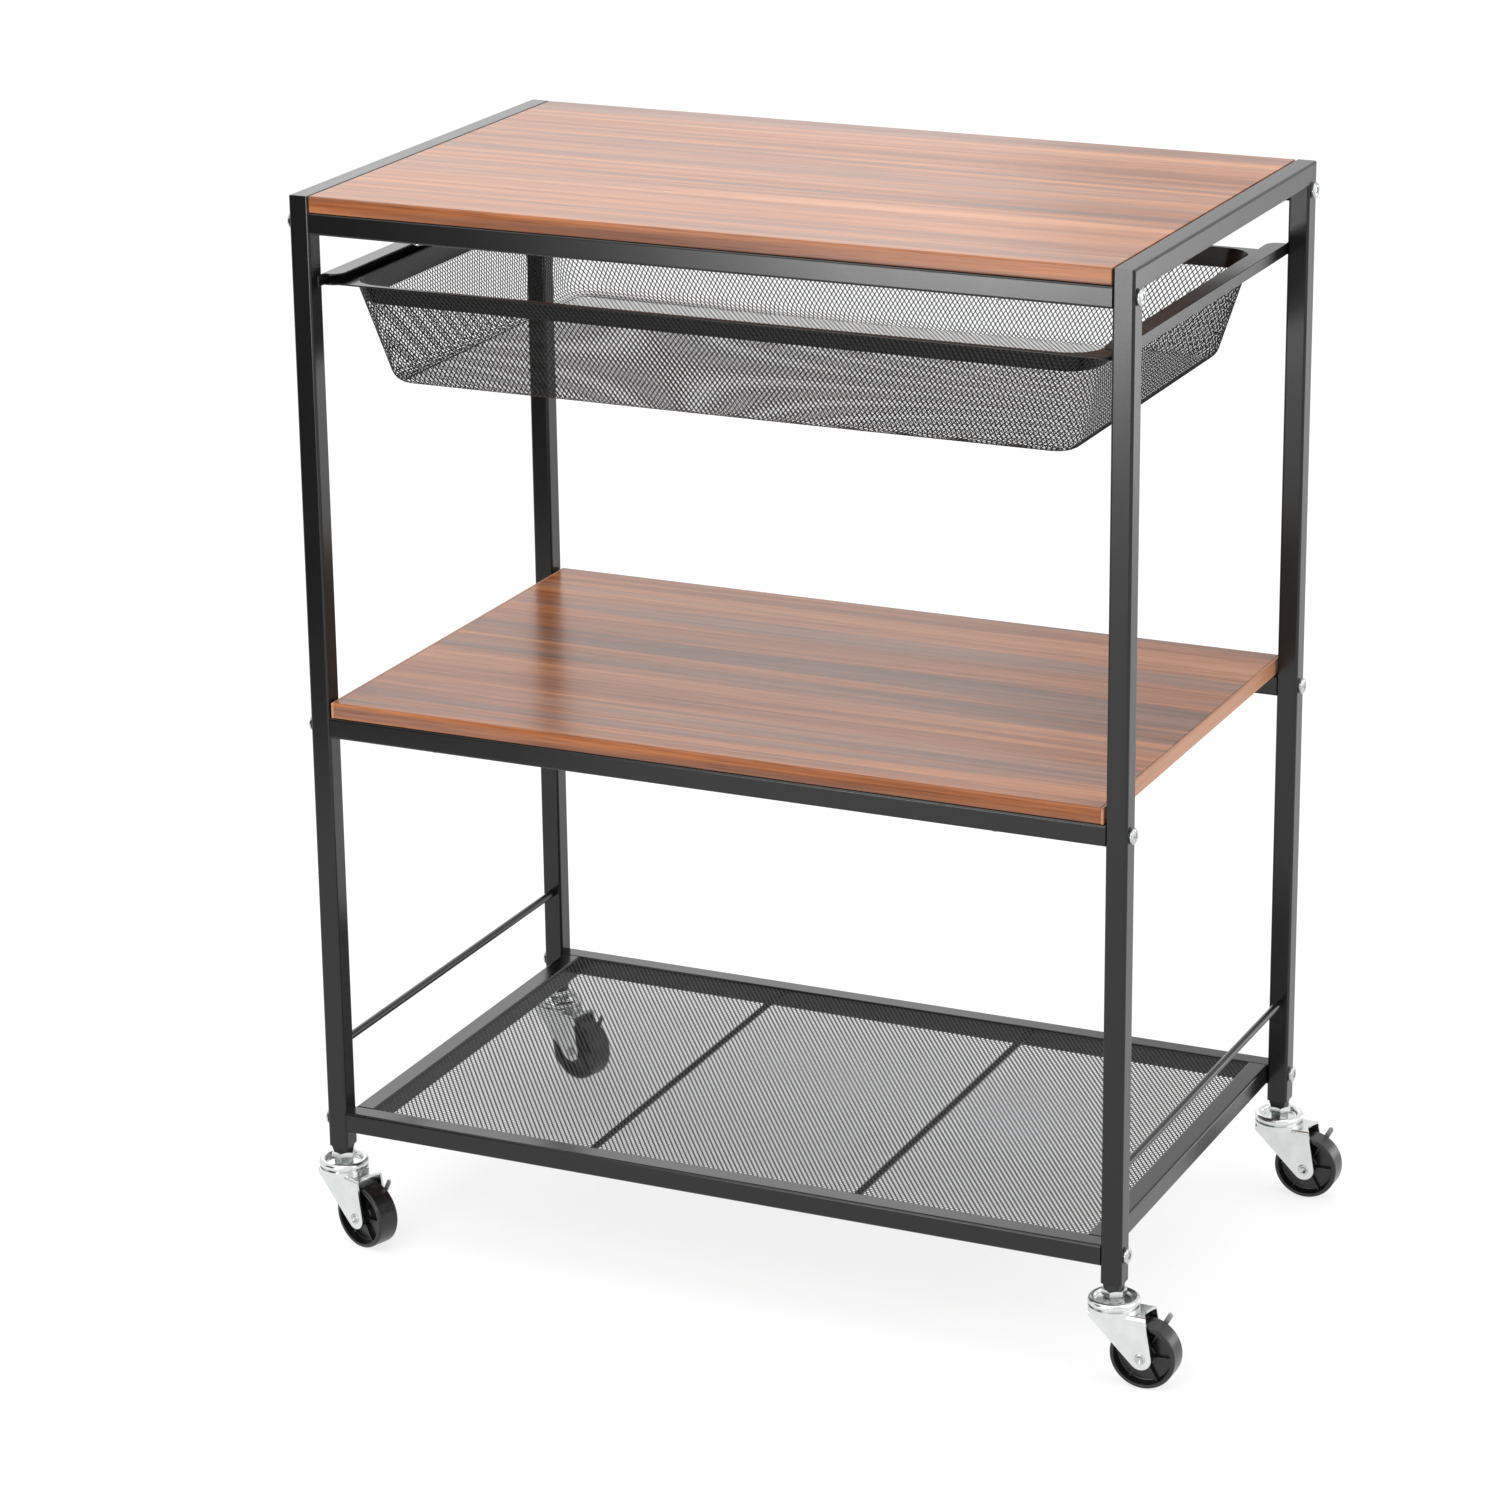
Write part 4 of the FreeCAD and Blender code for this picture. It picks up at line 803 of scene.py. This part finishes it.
# Wheels. Moulded black wheels with an eased tread, dished sides stiffened by ribs, and a hub that runs
# on the rivet between the fork's legs. The plastic is smooth, with faint scuffs.
TREAD_RADIUS = 0.0247
TREAD_HALF = 0.0093
TREAD_EASE = 0.002
DISH_TOP = 0.0214
DISH_FLOOR = 0.003
HUB_RADIUS = 0.007
HUB_NEAR = -0.0107
HUB_FAR = 0.0092
HUB_EASE = 0.0008
DISH_FOOT = 0.0192
DISH_FILLET = 0.0012
LIP_EASE = 0.0004
AXLE_HOLE = 0.00305
RIBS = 6
RIB_WIDTH = 0.0014
RIB_HEIGHT = 0.0036
RIB_OVERLAP = 0.001
RIB_EASE = 0.0003
SCUFF_HEIGHT = 0.00002
SCUFFS_PER_METRE = 160.0
WHEEL_COLOUR = (0.008, 0.008, 0.008, 1)
wheel_black, wheel_shader, wheel_at = finish("black wheel", Base_Color=WHEEL_COLOUR, Specular_IOR_Level=0.5)
scuff = wheel_at.noise(SCUFFS_PER_METRE, detail=4.0, roughness=0.6)
feed(wheel_shader, Roughness=scuff.between(low=0.23, high=0.3),
     Normal=scuff.bump(SCUFF_HEIGHT, strength=0.08))
wheel_profile = [(AXLE_HOLE, HUB_NEAR)]
wheel_profile += arc((HUB_RADIUS - HUB_EASE, HUB_NEAR + HUB_EASE), HUB_EASE, -90, 0, 4)
wheel_profile += arc((HUB_RADIUS + DISH_FILLET, -DISH_FLOOR - DISH_FILLET), DISH_FILLET, 180, 90, 4)
wheel_profile += arc((DISH_FOOT, -DISH_FLOOR - DISH_FILLET), DISH_FILLET, 90, 10, 4)
wheel_profile += arc((DISH_TOP + LIP_EASE, -TREAD_HALF + LIP_EASE), LIP_EASE, 180, 270, 4)
wheel_profile += arc((TREAD_RADIUS - TREAD_EASE, -TREAD_HALF + TREAD_EASE), TREAD_EASE, -90, 0, 8)
wheel_profile += arc((TREAD_RADIUS - TREAD_EASE, TREAD_HALF - TREAD_EASE), TREAD_EASE, 0, 90, 8)
wheel_profile += arc((DISH_TOP + LIP_EASE, TREAD_HALF - LIP_EASE), LIP_EASE, 90, 180, 4)
wheel_profile += arc((DISH_FOOT, DISH_FLOOR + DISH_FILLET), DISH_FILLET, -10, -90, 4)
wheel_profile += arc((HUB_RADIUS + DISH_FILLET, DISH_FLOOR + DISH_FILLET), DISH_FILLET, 270, 180, 4)
wheel_profile += arc((HUB_RADIUS - HUB_EASE, HUB_FAR - HUB_EASE), HUB_EASE, 0, 90, 4)
wheel_profile += [(AXLE_HOLE, HUB_FAR), (AXLE_HOLE, HUB_NEAR)]


def ribbed_wheel():
    """The turned wheel with ribs across both dishes."""
    mesh = turned_mesh("wheel", wheel_profile, segments=96)
    shape = bmesh.new()
    shape.from_mesh(mesh)
    for number in range(RIBS):
        spin = Matrix.Rotation(2 * math.pi * number / RIBS, 4, "Z")
        for face in (-1, 1):
            size = (DISH_TOP - HUB_RADIUS + RIB_OVERLAP, RIB_WIDTH, RIB_HEIGHT)
            centre = Vector(((DISH_TOP + HUB_RADIUS) / 2, 0, face * (DISH_FLOOR + DISH_FILLET)))
            rib = bmesh.ops.create_cube(shape, size=1, matrix=spin @ Matrix.Translation(centre) @
                                        Matrix.Diagonal((*size, 1)))["verts"]
            edges = {edge for vert in rib for edge in vert.link_edges}
            bmesh.ops.bevel(shape, geom=list(edges), offset=RIB_EASE, segments=2, profile=0.5,
                            affect="EDGES")
    shape.to_mesh(mesh)
    shape.free()
    return mesh


for corner in corner_spots:
    copies_at(f"{corner}_ribbed_wheel", ribbed_wheel(), wheel_black, hub_places[corner],
              body=f"{corner}_roller", node=f"{corner}_wheel")

# Studio. A white floor that runs out of sight under a white surround, soft lamps all round with the
# strongest on the right, and a camera to the right of the front, at eye height. A black card to the left
# of the front shows only in reflections, and keeps them dark there.
HALF_FLOOR = 30.0
FLOOR_COLOUR = (0.9, 0.9, 0.9, 1)
SHADOW_SHARE = 0.36
FLOOR_GLOW = 1.16
SURROUND_LIGHT = 0.8
WHITE = (1, 1, 1, 1)
LAMP_AIM = Vector((0, 0, 0.45))
CARD_LEFT, CARD_RIGHT = -2.4, -0.62
CARD_FRONT = -1.2
CARD_TOP = 1.3
CARD_COLOUR = (0.02, 0.02, 0.02, 1)


def stage_sheet(name, corners, material):
    """A flat sheet of the studio, which is no part of the shelf."""
    mesh = bpy.data.meshes.new(name)
    mesh.from_pydata(corners, [], [(0, 1, 2, 3)])
    mesh.materials.append(material)
    sheet = in_scene(name, mesh)
    return sheet


floor_white, floor_shader, _ = finish("studio white", Base_Color=FLOOR_COLOUR, Roughness=0.9,
                                      Specular_IOR_Level=0.0)
stage_sheet("studio_floor", [(-HALF_FLOOR, -HALF_FLOOR, 0), (HALF_FLOOR, -HALF_FLOOR, 0),
                             (HALF_FLOOR, HALF_FLOOR, 0), (-HALF_FLOOR, HALF_FLOOR, 0)], floor_white)


def seen_directly(start):
    """1 for rays from the camera, a mirror or glass, and 0 for the light that falls on things."""
    kinds = ("Is Camera Ray", "Is Glossy Ray", "Is Transmission Ray")
    camera_ray, glossy, through = (start.node("ShaderNodeLightPath", {}, {}, kind) for kind in kinds)
    return start.math("MINIMUM", camera_ray + glossy + through, 1.0)


lit = Signal(floor_white.node_tree, floor_shader.outputs["BSDF"])
glow = lit.node("ShaderNodeEmission", {}, {"Color": WHITE, "Strength": FLOOR_GLOW})
glow_share = seen_directly(lit) * (1 - SHADOW_SHARE)
blended = lit.node("ShaderNodeMixShader", {}, {0: glow_share, 1: lit, 2: glow})
feed(floor_white.node_tree.nodes["Material Output"], Surface=blended)

world = bpy.data.worlds.new("studio surround")
bpy.context.scene.world = world
world.use_nodes = True
sky = world.node_tree.nodes["Background"]
sky.inputs["Color"].default_value = WHITE
surround = Signal(world.node_tree, sky.outputs["Background"])
feed(sky, Strength=seen_directly(surround) * (1 - SURROUND_LIGHT) + SURROUND_LIGHT)


def softbox(name, place, power, width, height=None):
    """An area lamp that faces the middle of the shelf, square unless it has a height."""
    lamp = bpy.data.lights.new(name, "AREA")
    lamp.shape = "RECTANGLE"
    lamp.size = width
    lamp.size_y = height or width
    lamp.energy = power
    holder = in_scene(name, lamp)
    holder.location = place
    holder.rotation_euler = (LAMP_AIM - Vector(place)).to_track_quat("-Z", "Y").to_euler()


softbox("overhead softbox", (0.2, 0.1, 2.7), power=12, width=2.0)
softbox("overhead strip", (-0.85, -0.95, 2.5), power=6, width=1.0, height=0.4)
softbox("right softbox", (3.0, 0.2, 1.7), power=25, width=3.2, height=2.4)
softbox("front panel", (-0.3, -2.4, 2.4), power=20, width=2.0, height=1.2)
softbox("front strip", (-0.5, -2.0, 0.42), power=7, width=0.5, height=0.3)
softbox("rear left softbox", (-2.75, 4.2, 2.7), power=15, width=2.6, height=1.9)
softbox("rear right strip", (1.5, 2.0, 0.3), power=3, width=0.6)

card_black, _, _ = finish("card black", Base_Color=CARD_COLOUR, Roughness=0.9)
card = stage_sheet("black_card", [(CARD_LEFT, CARD_FRONT, 0), (CARD_RIGHT, CARD_FRONT, 0),
                                  (CARD_RIGHT, CARD_FRONT, CARD_TOP), (CARD_LEFT, CARD_FRONT, CARD_TOP)],
                   card_black)
card.visible_camera = False
card.visible_shadow = False
card.visible_diffuse = False

AZIMUTH = math.radians(24.94)
ELEVATION = math.radians(18.68)
ROLL = math.radians(0.72)
AIM = Vector((-0.0514, 0.0, 0.3687))
CAMERA_DISTANCE = 3.611
LENS = 115.4
SENSOR = 36
back = Vector((math.sin(AZIMUTH) * math.cos(ELEVATION), -math.cos(AZIMUTH) * math.cos(ELEVATION),
               math.sin(ELEVATION)))
camera = in_scene("camera", bpy.data.cameras.new("camera"))
camera.data.lens = LENS
camera.data.sensor_width = SENSOR
camera.location = AIM + back * CAMERA_DISTANCE
camera.rotation_mode = "QUATERNION"
camera.rotation_quaternion = back.to_track_quat("Z", "Y") @ Matrix.Rotation(-ROLL, 3, "Z").to_quaternion()
bpy.context.scene.camera = camera
bpy.context.scene.view_settings.view_transform = "Standard"
